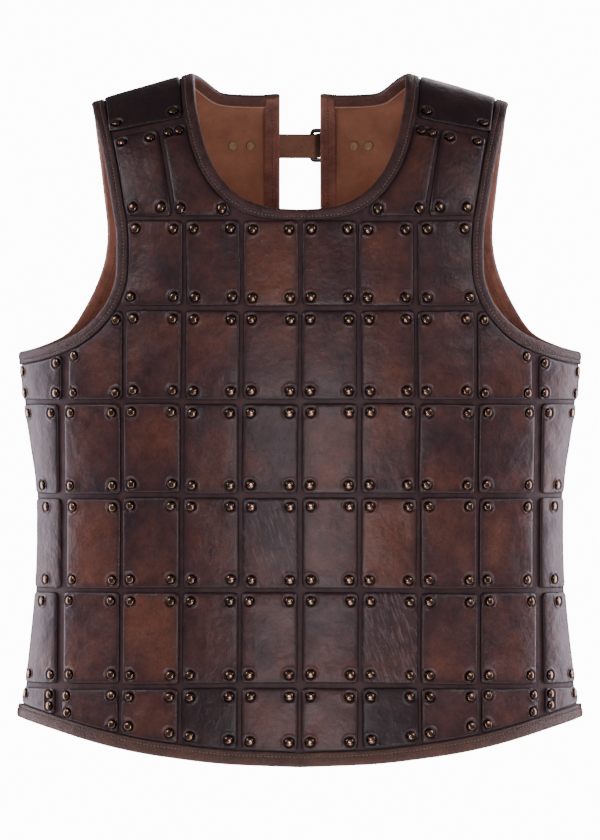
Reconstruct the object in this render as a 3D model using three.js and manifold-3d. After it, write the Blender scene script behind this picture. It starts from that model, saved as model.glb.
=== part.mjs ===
import * as THREE from 'three';
import { mergeVertices } from 'three/addons/utils/BufferGeometryUtils.js';
import Module from 'manifold-3d';

// A leather brigandine vest, filled out as it is when worn, hollow inside. Millimetres, +Z up, the front
// towards -Y. "left" is the -X side and "right" the +X side, as seen from the front. The origin is where
// the wearer's shoulders carry it, midway between the undersides of the two shoulder straps.

// Leather thicknesses, gaps and trims
const WALL = 3;
const PLATE = 2.5;
const BEVEL = 1.8;
const COLUMN_GAP = 5;
const ROW_GAP = 6;
const SEAM = 0.3;
const TRIM = 1.2;
const TRIM_WIDTH = 10.5;
const HEM_WIDTH = 11.5;
const OPENING_WIDTH = 14;
// The trims clear the wall's facets by this much more than a seam
const FACET = 0.25;

// Body shape: levels are heights at the front's middle. half is the half width at the side seam, front
// and back are the depths before and behind that seam.
const SECTIONS = [
  { level: 70, half: 252, front: 86, back: 92 },
  { level: -60, half: 253, front: 95, back: 101 },
  { level: -150, half: 255, front: 102, back: 106 },
  { level: -236, half: 254, front: 107, back: 103 },
  { level: -276, half: 250.8, front: 107, back: 99 },
  { level: -315, half: 244.6, front: 104, back: 93 },
  { level: -352, half: 239.5, front: 101, back: 89 },
  { level: -400, half: 238.4, front: 98, back: 87 },
  { level: -447, half: 240.2, front: 98, back: 90 },
  { level: -488, half: 244, front: 100, back: 95 },
  { level: -525, half: 248.5, front: 103, back: 100 },
  { level: -560, half: 254, front: 106, back: 104 },
  { level: -620, half: 260, front: 110, back: 109 },
];
// Each cross-section is depth * (1 - (x / half) ^ FLATNESS) ^ ROUNDNESS
const FLATNESS = 2.6;
const ROUNDNESS = 0.77;
// Above this level the front and the back arch over to meet at the shoulder ridge
const ARCH_LEVEL = -115;
const ARCH_SPAN = 180;
const RIDGE_LEVEL = ARCH_LEVEL + ARCH_SPAN;
const RIDGE_INNER = { x: 98.5, z: 17 };
const RIDGE_OUTER = { x: 188, z: -9 };
// The rows of plates bow away from the waist towards the middle of the body
const BOW = 0.033;
const BOW_LEVEL = -297;
const BOW_HALF = 255;

// Edges of the leather, as x and level
const FRONT_NECK = [
  { x: 97.6, level: 65 }, { x: 97, level: 29 }, { x: 95.3, level: -9 }, { x: 92, level: -33 },
  { x: 86.5, level: -58.6 }, { x: 77.5, level: -80 }, { x: 63.5, level: -96.7 },
  { x: 47.5, level: -106.4 }, { x: 27.3, level: -111.6 }, { x: 0, level: -113.3 },
];
const FRONT_ARMHOLE = [
  { x: 188.5, level: 65 }, { x: 185, level: 10 }, { x: 179, level: -31 }, { x: 172.3, level: -70 },
  { x: 166.3, level: -106 }, { x: 162.3, level: -132 }, { x: 161.8, level: -155.7 },
  { x: 163.1, level: -174.1 }, { x: 169.4, level: -191.6 }, { x: 180, level: -206.1 },
  { x: 193.3, level: -217.9 }, { x: 207.8, level: -225.7 }, { x: 230, level: -233 },
  { x: 253.9, level: -237.5 },
];
const BACK_ARMHOLE = [
  { x: 188.5, level: 65 }, { x: 187.6, level: 20 }, { x: 186, level: -24 }, { x: 181.6, level: -82.6 },
  { x: 178.3, level: -120.5 }, { x: 179.3, level: -141.6 }, { x: 183, level: -159.2 },
  { x: 189.9, level: -177.8 }, { x: 197.7, level: -193.7 }, { x: 207.4, level: -210.5 },
  { x: 217.9, level: -221.7 }, { x: 236.8, level: -231.4 }, { x: 253.9, level: -237.5 },
];
const BACK_NECK = [
  { x: 97.6, level: 65 }, { x: 94.5, level: 52 }, { x: 87.2, level: 29.5 }, { x: 78.4, level: 11.2 },
  { x: 69.4, level: 1.6 }, { x: 47.3, level: -7 }, { x: 19.5, level: -14.2 },
];
const HEM = [
  { x: 255.3, level: -557 }, { x: 224.5, level: -565.1 }, { x: 184, level: -576.7 },
  { x: 149.3, level: -584.9 }, { x: 114.4, level: -590.8 }, { x: 64.1, level: -597 }, { x: 0, level: -600 },
];
const OPENING_HALF = 19.5;
const OPENING_TOP = -12.5;
const OPENING_BOTTOM = -601.5;
const OPENING_LEVELS = [
  -25, -40, -57, -76, -96, -120, -155, -190, -240, -290, -341, -380, -435, -492, -545,
];

// Rows of plates on the front: top and bottom are the middles of the gaps above and below, one to four
// the middles of the gaps between the columns, lean how far those move outwards up the row, and first
// and last the columns that carry plates.
const ROWS = [
  { top: -37, bottom: -119.7, one: 59, two: 111.5, three: 172, four: 222, lean: 14, first: 1, last: 2 },
  { top: -119.7, bottom: -198.7, one: 51, two: 101.9, three: 160, four: 212, first: 0, last: 2 },
  { top: -198.7, bottom: -280.3, one: 51.7, two: 102.5, three: 155.2, four: 209.4, first: 0, last: 4 },
  { top: -280.3, bottom: -362.9, one: 52.2, two: 103.7, three: 156.8, four: 212.8, first: 0, last: 4 },
  { top: -362.9, bottom: -446.1, one: 52.4, two: 105.3, three: 159, four: 214.4, first: 0, last: 4 },
  { top: -446.1, bottom: -529.6, one: 52.8, two: 105.7, three: 159.5, four: 215.7, first: 0, last: 4 },
  { top: -529.6, bottom: -616, one: 52.9, two: 105.6, three: 159.3, four: 215.8, first: 0, last: 4 },
];
// A leaning row follows the curve of the shoulder, so its plates have more facets down their length
const LEANING_STEPS = 3;
// The plain levels of the shoulder above the first row
const SHOULDER_LEVELS = [RIDGE_LEVEL, 50, 33, 12, -12];
const WALL_BOTTOM = -620;
// The side plates stop this far short of the side seam
const SEAM_FOOT = 0.4;
const SEAM_CREST = 1.4;

// Shoulder plates: inner and outer edges in x at the front end, on the ridge and at the back end
const SHOULDER_PLATE = {
  front: { inner: 105.5, outer: 168, level: -27 },
  ridge: { inner: 110.5, outer: 175, level: RIDGE_LEVEL },
  back: { inner: 106, outer: 173, level: 4 },
};
const SHOULDER_SEAT = 0.5;

// Straps across the back opening
const STRAP_HEIGHTS = [-39, -190, -341, -492];
const STRAP_WIDTH = 22;
const STRAP = 2;
const TAB = 1.6;
const STRAP_SEAT = 0.8;
const OVER_TRIM = 2.35;
const BUCKLE = { left: 9.4, right: 31, height: 31, bar: 3.8, low: 4.7, high: 6.8 };
const HEEL_FOLD = 25.2;
const KEEPER = { left: 36, right: 42, wall: 1.2, low: 1.85, high: 11.8, play: 0.5 };
const RIVET_RADIUS = 4.5;
const RIVET_RISE = 2.4;
const STRAP_RIVETS = [-63.1, -46.3];
const TAB_RIVETS = [51, 64.5];

const LOOKS = {
  base: { color: 0x2c2422, roughness: 0.5, metalness: 0 },
  back: { color: 0x3b2a26, roughness: 0.5, metalness: 0 },
  plate: { color: 0x4a302c, roughness: 0.4, metalness: 0 },
  trim: { color: 0x53362e, roughness: 0.55, metalness: 0 },
  strap: { color: 0x8c5a44, roughness: 0.55, metalness: 0 },
  steel: { color: 0x3a3a3e, roughness: 0.35, metalness: 1 },
  brass: { color: 0xa5793f, roughness: 0.35, metalness: 1 },
};

const wasm = await Module();
wasm.setup();
const SLIVER = 0.05;
const FRONT = -1;
const BACK = 1;

// A smooth curve through one column of SECTIONS
function bodySize(key, level) {
  const last = SECTIONS.length - 1;
  const at = THREE.MathUtils.clamp(level, SECTIONS[last].level, SECTIONS[0].level);
  let i = 0;
  while (i < last - 1 && SECTIONS[i + 1].level > at) i += 1;
  const slope = (k) => {
    const above = SECTIONS[Math.max(k - 1, 0)];
    const below = SECTIONS[Math.min(k + 1, last)];
    return (below[key] - above[key]) / (below.level - above.level);
  };
  const step = SECTIONS[i + 1].level - SECTIONS[i].level;
  const t = (at - SECTIONS[i].level) / step;
  return (2 * t ** 3 - 3 * t ** 2 + 1) * SECTIONS[i][key] + (t ** 3 - 2 * t ** 2 + t) * slope(i) * step
    + (3 * t ** 2 - 2 * t ** 3) * SECTIONS[i + 1][key] + (t ** 3 - t ** 2) * slope(i + 1) * step;
}

function ridgeHeight(x) {
  const fall = (RIDGE_INNER.z - RIDGE_OUTER.z) / (RIDGE_OUTER.x - RIDGE_INNER.x);
  return RIDGE_INNER.z - fall * (Math.abs(x) - RIDGE_INNER.x);
}

function bowed(x, level) {
  return level + BOW * (x / BOW_HALF) ** 2 * (level - BOW_LEVEL);
}

// The base leather's outer face at x and level
function facePoint(side, x, level) {
  const depth = bodySize(side === FRONT ? 'front' : 'back', level);
  const across = Math.min(1, Math.abs(x) / bodySize('half', level));
  const y = side * depth * (1 - across ** FLATNESS) ** ROUNDNESS;
  if (level <= ARCH_LEVEL) return new THREE.Vector3(x, y, bowed(x, level));
  const turn = ((Math.min(level, RIDGE_LEVEL) - ARCH_LEVEL) / ARCH_SPAN) * (Math.PI / 2);
  const foot = bowed(x, ARCH_LEVEL);
  return new THREE.Vector3(x, y * Math.cos(turn), foot + (ridgeHeight(x) - foot) * Math.sin(turn));
}

// The level of the point at x and height z
function levelAt(x, z) {
  const bow = BOW * (x / BOW_HALF) ** 2;
  const foot = bowed(x, ARCH_LEVEL);
  if (z <= foot) return (z + bow * BOW_LEVEL) / (1 + bow);
  const rise = Math.min(1, (z - foot) / (ridgeHeight(x) - foot));
  return ARCH_LEVEL + (ARCH_SPAN * Math.asin(rise)) / (Math.PI / 2);
}

// The face's point, its two directions and its outward normal
function faceFrame(side, x, level) {
  const half = bodySize('half', level);
  const mirror = x < 0 ? -1 : 1;
  const size = Math.min(Math.abs(x), half);
  const h = 0.5;
  const [xa, xb] = [size - h, Math.min(size + h, half)];
  const top = Math.min(level, RIDGE_LEVEL);
  const [la, lb] = [top - h, Math.min(top + h, RIDGE_LEVEL)];
  const alongX = facePoint(side, xb, top).sub(facePoint(side, xa, top)).divideScalar(xb - xa);
  const alongLevel = facePoint(side, size, lb).sub(facePoint(side, size, la)).divideScalar(lb - la);
  const normal = alongX.clone().cross(alongLevel).multiplyScalar(-side).normalize();
  const point = facePoint(side, size, top);
  if (mirror < 0) {
    point.x *= -1;
    normal.x *= -1;
    alongX.y *= -1;
    alongX.z *= -1;
    alongLevel.x *= -1;
  }
  return { point, normal, alongX, alongLevel };
}

function faceOffset(side, x, level, rise) {
  const { point, normal } = faceFrame(side, x, level);
  return point.addScaledVector(normal, rise);
}

function meshOf(points, triangles) {
  const geometry = new THREE.BufferGeometry();
  const flat = points.flatMap((p) => [p.x, p.y, p.z]);
  geometry.setAttribute('position', new THREE.Float32BufferAttribute(flat, 3));
  geometry.setIndex(triangles);
  return facingOut(geometry);
}

function facingOut(geometry) {
  const p = geometry.attributes.position;
  const index = geometry.index.array;
  const corner = (k) => new THREE.Vector3().fromBufferAttribute(p, index[k]);
  let volume = 0;
  for (let k = 0; k < index.length; k += 3) volume += corner(k).dot(corner(k + 1).cross(corner(k + 2)));
  if (volume < 0) {
    for (let k = 0; k < index.length; k += 3) [index[k], index[k + 1]] = [index[k + 1], index[k]];
  }
  return geometry;
}

function toSolid(geometry) {
  const bare = geometry.clone();
  bare.deleteAttribute('normal');
  bare.deleteAttribute('uv');
  const merged = facingOut(mergeVertices(bare, 1e-4));
  return new wasm.Manifold(new wasm.Mesh({
    numProp: 3,
    vertProperties: new Float32Array(merged.attributes.position.array),
    triVerts: new Uint32Array(merged.index.array),
  }));
}

function toGeometry(solid) {
  const mesh = solid.getMesh();
  const geometry = new THREE.BufferGeometry();
  geometry.setAttribute('position', new THREE.BufferAttribute(mesh.vertProperties, 3));
  geometry.setIndex(new THREE.BufferAttribute(mesh.triVerts, 1));
  return geometry;
}

// The largest piece of a cut solid, without the crumbs beyond the cut and the slivers along it
function largest(solid) {
  const [body] = solid.decompose().sort((a, b) => b.volume() - a.volume());
  return toSolid(toGeometry(body)).simplify(SLIVER);
}

function mirrored(geometry) {
  const copy = geometry.clone();
  copy.scale(-1, 1, 1);
  return facingOut(copy);
}

// A closed solid from rings of points: the caps are cut from the outline of a ring
function sweep(rings, outline) {
  const count = outline.length;
  const triangles = [];
  for (let i = 0; i + 1 < rings.length; i += 1) {
    for (let k = 0; k < count; k += 1) {
      const a = i * count + k;
      const b = i * count + ((k + 1) % count);
      triangles.push(a, b, b + count, a, b + count, a + count);
    }
  }
  const contour = outline.map(([u, v]) => new THREE.Vector2(u, v));
  const wasClockwise = THREE.ShapeUtils.isClockWise(contour);
  const last = (rings.length - 1) * count;
  for (const [a, b, c] of THREE.ShapeUtils.triangulateShape(contour, [])) {
    if (wasClockwise) triangles.push(a, b, c, last + a, last + c, last + b);
    else triangles.push(a, c, b, last + a, last + b, last + c);
  }
  return meshOf(rings.flat(), triangles);
}

function splinePoints(table, count) {
  const curve = new THREE.SplineCurve(table.map(({ x, level }) => new THREE.Vector2(x, level)));
  return curve.getSpacedPoints(count).map((p) => ({ x: p.x, level: p.y }));
}

// The frame of a leather edge at each point of a curve: inward is the direction into the panel, and
// the hint for it is given on the right half of the body
function edgeFrames(side, curve, inwardHint) {
  return curve.map(({ x, level }, i) => {
    const before = curve[Math.max(i - 1, 0)];
    const after = curve[Math.min(i + 1, curve.length - 1)];
    const tangent = facePoint(side, after.x, after.level).sub(facePoint(side, before.x, before.level));
    tangent.normalize();
    const frame = faceFrame(side, x, level);
    const inward = tangent.clone().cross(frame.normal).normalize();
    const hint = frame.alongX.clone().multiplyScalar(inwardHint.x * (x < 0 ? -1 : 1))
      .addScaledVector(frame.alongLevel, inwardHint.level);
    if (inward.dot(hint) < 0) inward.negate();
    return { x, level, tangent, inward, ...frame };
  });
}

// The point that lies m in from an edge and n out from the outer face
function trimPoint(side, frame, m, n) {
  const { alongX, alongLevel, inward } = frame;
  const xx = alongX.dot(alongX);
  const xl = alongX.dot(alongLevel);
  const ll = alongLevel.dot(alongLevel);
  const ix = inward.dot(alongX);
  const il = inward.dot(alongLevel);
  const det = xx * ll - xl * xl;
  const x = frame.x + (m * (ix * ll - il * xl)) / det;
  const level = frame.level + (m * (il * xx - ix * xl)) / det;
  return faceOffset(side, x, level, n);
}

// The section of a strip folded over an edge, as m in from the edge and n out from the outer face
function foldedSection(width, edgeGap, faceGap, thick) {
  const out = faceGap + thick;
  const inside = -WALL - faceGap;
  const edge = -edgeGap - thick;
  const round = thick / 2;
  return [
    [width, out], [edge + round, out], [edge, out - round], [edge, inside - thick + round],
    [edge + round, inside - thick], [width, inside - thick], [width, inside], [-edgeGap, inside],
    [-edgeGap, faceGap], [width, faceGap],
  ];
}

// A strip folded over an edge. Ends named in seams are slid along the edge onto the seam plane at y.
function foldedStrip(side, curve, hint, section, seams, seamY) {
  const frames = edgeFrames(side, curve, hint);
  const rings = frames.map((frame, i) => {
    const ring = section.map(([m, n]) => trimPoint(side, frame, m, n));
    const atSeam = (i === 0 && seams.start) || (i === frames.length - 1 && seams.end);
    if (!atSeam) return ring;
    return ring.map((p) => p.addScaledVector(frame.tangent, (seamY - p.y) / frame.tangent.y));
  });
  return sweep(rings, section);
}

function binding(side, curve, hint, width, seams) {
  const section = foldedSection(width, SEAM, SEAM + FACET, TRIM);
  return foldedStrip(side, curve, hint, section, seams, (side * SEAM) / 2);
}

// What is taken off a wall around an edge, so that the folded strip clears it
const CUT_MARGIN = 0.8;
const CUT_THICKNESS = 8;
const PAST_SEAM = 0.5;

function edgeCutter(side, curve, hint, width, seams) {
  const section = foldedSection(width + CUT_MARGIN, 0, FACET, CUT_THICKNESS);
  return toSolid(foldedStrip(side, curve, hint, section, seams, -side * PAST_SEAM));
}

// The body from one face to a plane behind the seam, from lines of points across and down
const BEHIND_SEAM = 20;

function bodySolid(side, lines) {
  const rows = lines.length;
  const columns = lines[0].length;
  const face = lines.flat();
  const behind = face.map((p) => new THREE.Vector3(p.x, -side * BEHIND_SEAM, p.z));
  const total = rows * columns;
  const triangles = [];
  const quad = (a, b, c, d) => triangles.push(a, b, c, a, c, d);
  for (let r = 0; r + 1 < rows; r += 1) {
    for (let c = 0; c + 1 < columns; c += 1) {
      const a = r * columns + c;
      const cell = [a, a + 1, a + 1 + columns, a + columns];
      quad(...cell);
      quad(...cell.map((k) => k + total).reverse());
    }
  }
  const rim = [];
  for (let c = 0; c + 1 < columns; c += 1) rim.push(c);
  for (let r = 0; r + 1 < rows; r += 1) rim.push(r * columns + columns - 1);
  for (let c = columns - 1; c > 0; c -= 1) rim.push((rows - 1) * columns + c);
  for (let r = rows - 1; r > 0; r -= 1) rim.push(r * columns);
  rim.forEach((a, i) => {
    const b = rim[(i + 1) % rim.length];
    quad(b, a, a + total, b + total);
  });
  return toSolid(meshOf([...face, ...behind], triangles));
}

// Down one row of plates: the levels of its lines and whether each lies on the plates' tops
function rowLevels(row) {
  const top = row.top - ROW_GAP / 2;
  const bottom = row.bottom + ROW_GAP / 2;
  const steps = row.lean ? LEANING_STEPS : 1;
  const crests = [];
  for (let i = 0; i <= steps; i += 1) {
    crests.push({ level: THREE.MathUtils.lerp(top - BEVEL, bottom + BEVEL, i / steps), top: true });
  }
  return [{ level: top, top: false }, ...crests, { level: bottom, top: false }];
}

// Across one row, from the middle outwards: where its lines lie and which column each one raises
function rowLines(row, level) {
  const { lean = 0 } = row;
  const up = THREE.MathUtils.clamp((level - row.bottom) / (row.top - row.bottom), 0, 1) * lean;
  const gaps = [0, row.one + up, row.two + up, row.three + up, row.four + up];
  const half = bodySize('half', level);
  const lines = [];
  gaps.forEach((gap, column) => {
    const next = gaps[column + 1];
    const foot = gap + COLUMN_GAP / 2;
    const crest = foot + BEVEL;
    const farCrest = next ? next - COLUMN_GAP / 2 - BEVEL : half - SEAM_CREST;
    const farFoot = next ? next - COLUMN_GAP / 2 : half - SEAM_FOOT;
    lines.push({ x: foot, column: -1 }, { x: crest, column }, { x: (crest + farCrest) / 2, column });
    lines.push({ x: farCrest, column }, { x: farFoot, column: -1 });
  });
  return [...lines, { x: half, column: -1 }];
}

function frontFace() {
  const levels = SHOULDER_LEVELS.map((level) => ({ row: ROWS[0], level, top: false }));
  for (const row of ROWS) levels.push(...rowLevels(row).map((line) => ({ row, ...line })));
  levels.push({ row: ROWS[ROWS.length - 1], level: WALL_BOTTOM, top: false });
  return levels.map(({ row, level, top }) => {
    const half = rowLines(row, level).map(({ x, column }) => {
      const raised = top && column >= row.first && column <= row.last;
      return faceOffset(FRONT, x, level, raised ? PLATE : 0);
    });
    const other = half.map((p) => new THREE.Vector3(-p.x, p.y, p.z)).reverse();
    return [...other, ...half];
  });
}

// A plain face on even lines, moved out by rise
function plainFace(side, rise) {
  const across = [1, 0.98, 0.91, 0.81, 0.7, 0.57, 0.42, 0.27, 0.12];
  const down = [RIDGE_LEVEL, 50, 30, 7, -20, -50, -83, -120, -170, -230, -285, -340, -400, -460, -520,
    -570, WALL_BOTTOM];
  return down.map((level) => {
    const half = bodySize('half', level);
    const left = across.map((part) => faceOffset(side, -part * half, level, rise));
    const right = across.map((part) => faceOffset(side, part * half, level, rise)).reverse();
    return [...left, faceOffset(side, 0, level, rise), ...right];
  });
}

// A block through the body whose outline stands off the leather's edges
const STAND_OFF = 4;
const BLOCK_DEPTH = 200;
const BEYOND_SIDE = 300;
const ABOVE_RIDGE = 60;

function outlineBlock(side, outline) {
  const shape = new THREE.Shape(outline.map((p) => new THREE.Vector2(p.x, p.z)));
  const block = new THREE.ExtrudeGeometry(shape, { depth: BLOCK_DEPTH, bevelEnabled: false });
  block.rotateX(Math.PI / 2);
  block.translate(0, side === BACK ? BLOCK_DEPTH + SEAM / 2 : -SEAM / 2, 0);
  return toSolid(block);
}

const OUTWARD = { x: 1, level: 0 };
const MIDWARD = { x: -1, level: 0 };
const UPWARD = { x: 0, level: 1 };
const ARM_HINT = { x: -1, level: -1 };
const NECK_HINT = { x: 1, level: -1 };
const BOTH_SEAMS = { start: true, end: true };

const frontNeckHalf = splinePoints(FRONT_NECK, 12);
const frontNeck = [
  ...frontNeckHalf.map(({ x, level }) => ({ x: -x, level })),
  ...frontNeckHalf.slice(0, -1).reverse(),
];
const hemHalf = splinePoints(HEM, 9);
const frontHem = [
  ...hemHalf.map(({ x, level }) => ({ x: -x, level })),
  ...hemHalf.slice(0, -1).reverse(),
];
const frontArmhole = splinePoints(FRONT_ARMHOLE, 18);
const backArmhole = splinePoints(BACK_ARMHOLE, 18);
const backNeck = splinePoints(BACK_NECK, 8);

// The part of a curve beyond x, ended on it
const SHORTEST_FACET = 4;

function curveFrom(curve, limit) {
  const kept = curve.filter(({ x }) => x > limit + SHORTEST_FACET);
  const next = curve.find(({ x }) => x <= limit);
  const last = kept[kept.length - 1];
  const part = (last.x - limit) / (last.x - next.x);
  return [...kept, { x: limit, level: THREE.MathUtils.lerp(last.level, next.level, part) }];
}

function openingLine(top, bottom) {
  return [top, ...OPENING_LEVELS, bottom].map((level) => ({ x: OPENING_HALF, level }));
}

function standOff(side, curve, hint) {
  return edgeFrames(side, curve, hint).map((frame) => trimPoint(side, frame, -STAND_OFF, 0));
}

function frontPanel() {
  const wall = bodySolid(FRONT, frontFace()).subtract(bodySolid(FRONT, plainFace(FRONT, -WALL)));
  const neck = standOff(FRONT, frontNeckHalf, NECK_HINT);
  const arm = standOff(FRONT, frontArmhole, ARM_HINT);
  const hem = standOff(FRONT, hemHalf, UPWARD);
  const half = [
    ...neck.slice(0, -1).reverse(), new THREE.Vector3(neck[0].x, 0, ABOVE_RIDGE),
    new THREE.Vector3(arm[0].x, 0, ABOVE_RIDGE), ...arm,
    new THREE.Vector3(BEYOND_SIDE, 0, arm[arm.length - 1].z),
    new THREE.Vector3(BEYOND_SIDE, 0, hem[0].z), ...hem,
  ];
  const other = half.slice(0, -1).map((p) => new THREE.Vector3(-p.x, 0, p.z)).reverse();
  const block = outlineBlock(FRONT, [...half, ...other]);
  const arms = edgeCutter(FRONT, frontArmhole, ARM_HINT, TRIM_WIDTH, BOTH_SEAMS);
  const otherArm = toSolid(mirrored(toGeometry(arms)));
  return toGeometry(largest(wall.intersect(block)
    .subtract(edgeCutter(FRONT, frontNeck, NECK_HINT, TRIM_WIDTH, BOTH_SEAMS))
    .subtract(arms).subtract(otherArm)
    .subtract(edgeCutter(FRONT, frontHem, UPWARD, HEM_WIDTH, BOTH_SEAMS))));
}

// The back's cutters run past its corners by the opening
const PAST_NECK = { x: 5, level: -16.2 };
const ABOVE_NECK = 2;
const BELOW_HEM = -615;

function backPanel() {
  const wall = bodySolid(BACK, plainFace(BACK, 0)).subtract(bodySolid(BACK, plainFace(BACK, -WALL)));
  const neck = standOff(BACK, backNeck, NECK_HINT);
  const arm = standOff(BACK, backArmhole, ARM_HINT);
  const hem = standOff(BACK, hemHalf, UPWARD);
  const middle = OPENING_HALF - STAND_OFF;
  const outline = [
    new THREE.Vector3(middle, 0, neck[neck.length - 1].z), ...neck.slice(0, -1).reverse(),
    new THREE.Vector3(neck[0].x, 0, ABOVE_RIDGE), new THREE.Vector3(arm[0].x, 0, ABOVE_RIDGE), ...arm,
    new THREE.Vector3(BEYOND_SIDE, 0, arm[arm.length - 1].z), new THREE.Vector3(BEYOND_SIDE, 0, hem[0].z),
    ...hem.filter((p) => p.x > OPENING_HALF), new THREE.Vector3(middle, 0, hem[hem.length - 1].z),
  ];
  const start = { start: true, end: false };
  const pastNeck = [...backNeck, PAST_NECK];
  return toGeometry(largest(wall.intersect(outlineBlock(BACK, outline))
    .subtract(edgeCutter(BACK, pastNeck, NECK_HINT, TRIM_WIDTH, start))
    .subtract(edgeCutter(BACK, backArmhole, ARM_HINT, TRIM_WIDTH, BOTH_SEAMS))
    .subtract(edgeCutter(BACK, hemHalf, UPWARD, HEM_WIDTH, start))
    .subtract(edgeCutter(BACK, openingLine(ABOVE_NECK, BELOW_HEM), OUTWARD, OPENING_WIDTH, {}))));
}

// A plate bent over the shoulder ridge, from its front end to its back end
function shoulderPlate() {
  const stations = [];
  const ease = (from, to, side, count) => {
    for (let i = 0; i <= count; i += 1) {
      const t = i / count;
      const level = THREE.MathUtils.lerp(from.level, to.level, t);
      stations.push({
        side, level,
        inner: THREE.MathUtils.lerp(from.inner, to.inner, t),
        outer: THREE.MathUtils.lerp(from.outer, to.outer, t),
      });
    }
  };
  ease(SHOULDER_PLATE.front, SHOULDER_PLATE.ridge, FRONT, 7);
  stations.pop();
  ease(SHOULDER_PLATE.ridge, SHOULDER_PLATE.back, BACK, 5);
  const cells = 4;
  const outline = [];
  for (let i = 0; i <= cells; i += 1) outline.push([i / cells, 1]);
  for (let i = cells; i >= 0; i -= 1) outline.push([i / cells, 0]);
  const rings = stations.map(({ side, level, inner, outer }) => outline.map(([across, high]) => (
    faceOffset(side, THREE.MathUtils.lerp(inner, outer, across), level, SHOULDER_SEAT + high * PLATE)
  )));
  return sweep(rings, outline);
}

// Strap work is laid out flat, as x across the back, y out from its outer face and z up from the
// strap's middle, and is then bent onto the back.
function bentOntoBack(flat, height) {
  const geometry = toGeometry(toSolid(flat));
  const p = geometry.attributes.position;
  for (let k = 0; k < p.count; k += 1) {
    const x = p.getX(k);
    const level = levelAt(x, height + p.getZ(k));
    const at = faceOffset(BACK, x, level, p.getY(k));
    p.setXYZ(k, at.x, at.y, at.z);
  }
  return facingOut(geometry);
}

const CUT_THROUGH = 20;

function extruded(points, depth, hole) {
  const shape = new THREE.Shape(points.map(([x, y]) => new THREE.Vector2(x, y)));
  if (hole) shape.holes.push(new THREE.Path(hole.map(([x, y]) => new THREE.Vector2(x, y))));
  const steps = depth < STRAP_WIDTH ? 1 : 2;
  const geometry = new THREE.ExtrudeGeometry(shape, { depth, steps, bevelEnabled: false });
  geometry.translate(0, 0, -depth / 2);
  return geometry;
}

function slotCutter(left, right, width) {
  const box = new THREE.BoxGeometry(right - left, CUT_THROUGH, width);
  box.translate((left + right) / 2, CUT_THROUGH / 4, 0);
  return toSolid(box);
}

// The strap's underside, left to right: over the edge trims, under the buckle's near bar, over its
// heel bar and on over the tab's rivets
const STRAP_PATH = [
  { x: -76, y: STRAP_SEAT }, { x: -57, y: STRAP_SEAT }, { x: -39, y: STRAP_SEAT },
  { x: -36, y: OVER_TRIM }, { x: -18, y: OVER_TRIM }, { x: 0, y: OVER_TRIM }, { x: 13.4, y: OVER_TRIM },
  { x: 24, y: 9 }, { x: 34, y: 9 }, { x: 46, y: 8.5 }, { x: 58, y: 8.1 }, { x: 70, y: 7.7 }, { x: 84, y: 5.4 },
];
const SPARE_HOLE = 1;
const HOLE = 4.4;
// The prong comes up through the strap here
const PRONG_SLOT = { left: 15, right: 23 };

function strap() {
  const under = STRAP_PATH.map(({ x, y }) => [x, y]);
  const over = STRAP_PATH.map(({ x, y }) => [x, y + STRAP]).reverse();
  let solid = toSolid(extruded([...under, ...over], STRAP_WIDTH));
  solid = solid.subtract(slotCutter(PRONG_SLOT.left, PRONG_SLOT.right, HOLE));
  solid = solid.subtract(slotCutter(SPARE_HOLE - HOLE / 2, SPARE_HOLE + HOLE / 2, HOLE));
  return toGeometry(solid);
}

// The tab that holds the buckle: a strip folded round the heel bar, with a slot for the prong. It lies
// on the leather from foot to end, steps up over the edge trim and folds back at heel.
const TAB_LINE = { end: 72, foot: 46.5, step: 43.5, bend: 27.2, top: 4.4 };
const TAB_SLOT = { left: 24, right: 34, width: 5.2 };

function tab() {
  const { end, foot, step, bend, top } = TAB_LINE;
  const low = OVER_TRIM;
  const high = BUCKLE.high + SEAM;
  const fold = TAB + SEAM;
  const heel = HEEL_FOLD;
  const outer = [
    [end, STRAP_SEAT], [foot, STRAP_SEAT], [step, low], [bend, low], [heel, low + 2],
    [heel, high + TAB - 2], [bend, high + TAB], [BUCKLE.right, high + TAB],
    [step - 1, low + 2 * fold - SEAM], [foot - SEAM, top], [end, top],
  ];
  const slit = STRAP_SEAT + TAB;
  const inner = [
    [end, slit + SEAM], [foot + SEAM, slit + SEAM], [step + 0.7, low + fold + 0.2], [step - 1.5, low + fold],
    [BUCKLE.right + 0.6, high], [bend + 0.4, high], [heel + TAB, high - 0.6], [heel + TAB, low + TAB + 0.6],
    [bend + 0.4, low + TAB], [step + 0.2, low + TAB], [foot + 0.1, slit], [end, slit],
  ];
  const solid = toSolid(extruded([...outer, ...inner], STRAP_WIDTH));
  return toGeometry(solid.subtract(slotCutter(TAB_SLOT.left, TAB_SLOT.right, TAB_SLOT.width)));
}

// A rectangle with cut corners and a point at the middle of each side, so that it bends with the back
function rectangle(left, right, low, high, round) {
  const [x, y] = [(left + right) / 2, (low + high) / 2];
  return [
    [left + round, low], [x, low], [right - round, low], [right, low + round], [right, y],
    [right, high - round], [right - round, high], [x, high], [left + round, high],
    [left, high - round], [left, y], [left, low + round],
  ];
}

function buckleFrame() {
  const { left, right, height, bar, low, high } = BUCKLE;
  const half = height / 2;
  const ring = extruded(rectangle(left, right, -half, half, 3.5), high - low,
    rectangle(left + bar, right - bar, bar - half, half - bar, 0.8));
  ring.rotateX(Math.PI / 2);
  ring.translate(0, (low + high) / 2, 0);
  return ring;
}

// The prong: a ring round the heel bar and a pin that rests on the near bar. play is its room round the
// bar, wall its thickness there, tip how far it passes the near bar.
const PRONG = { play: 0.6, wall: 1.1, neck: 4, tip: 1, width: 3 };

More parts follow.
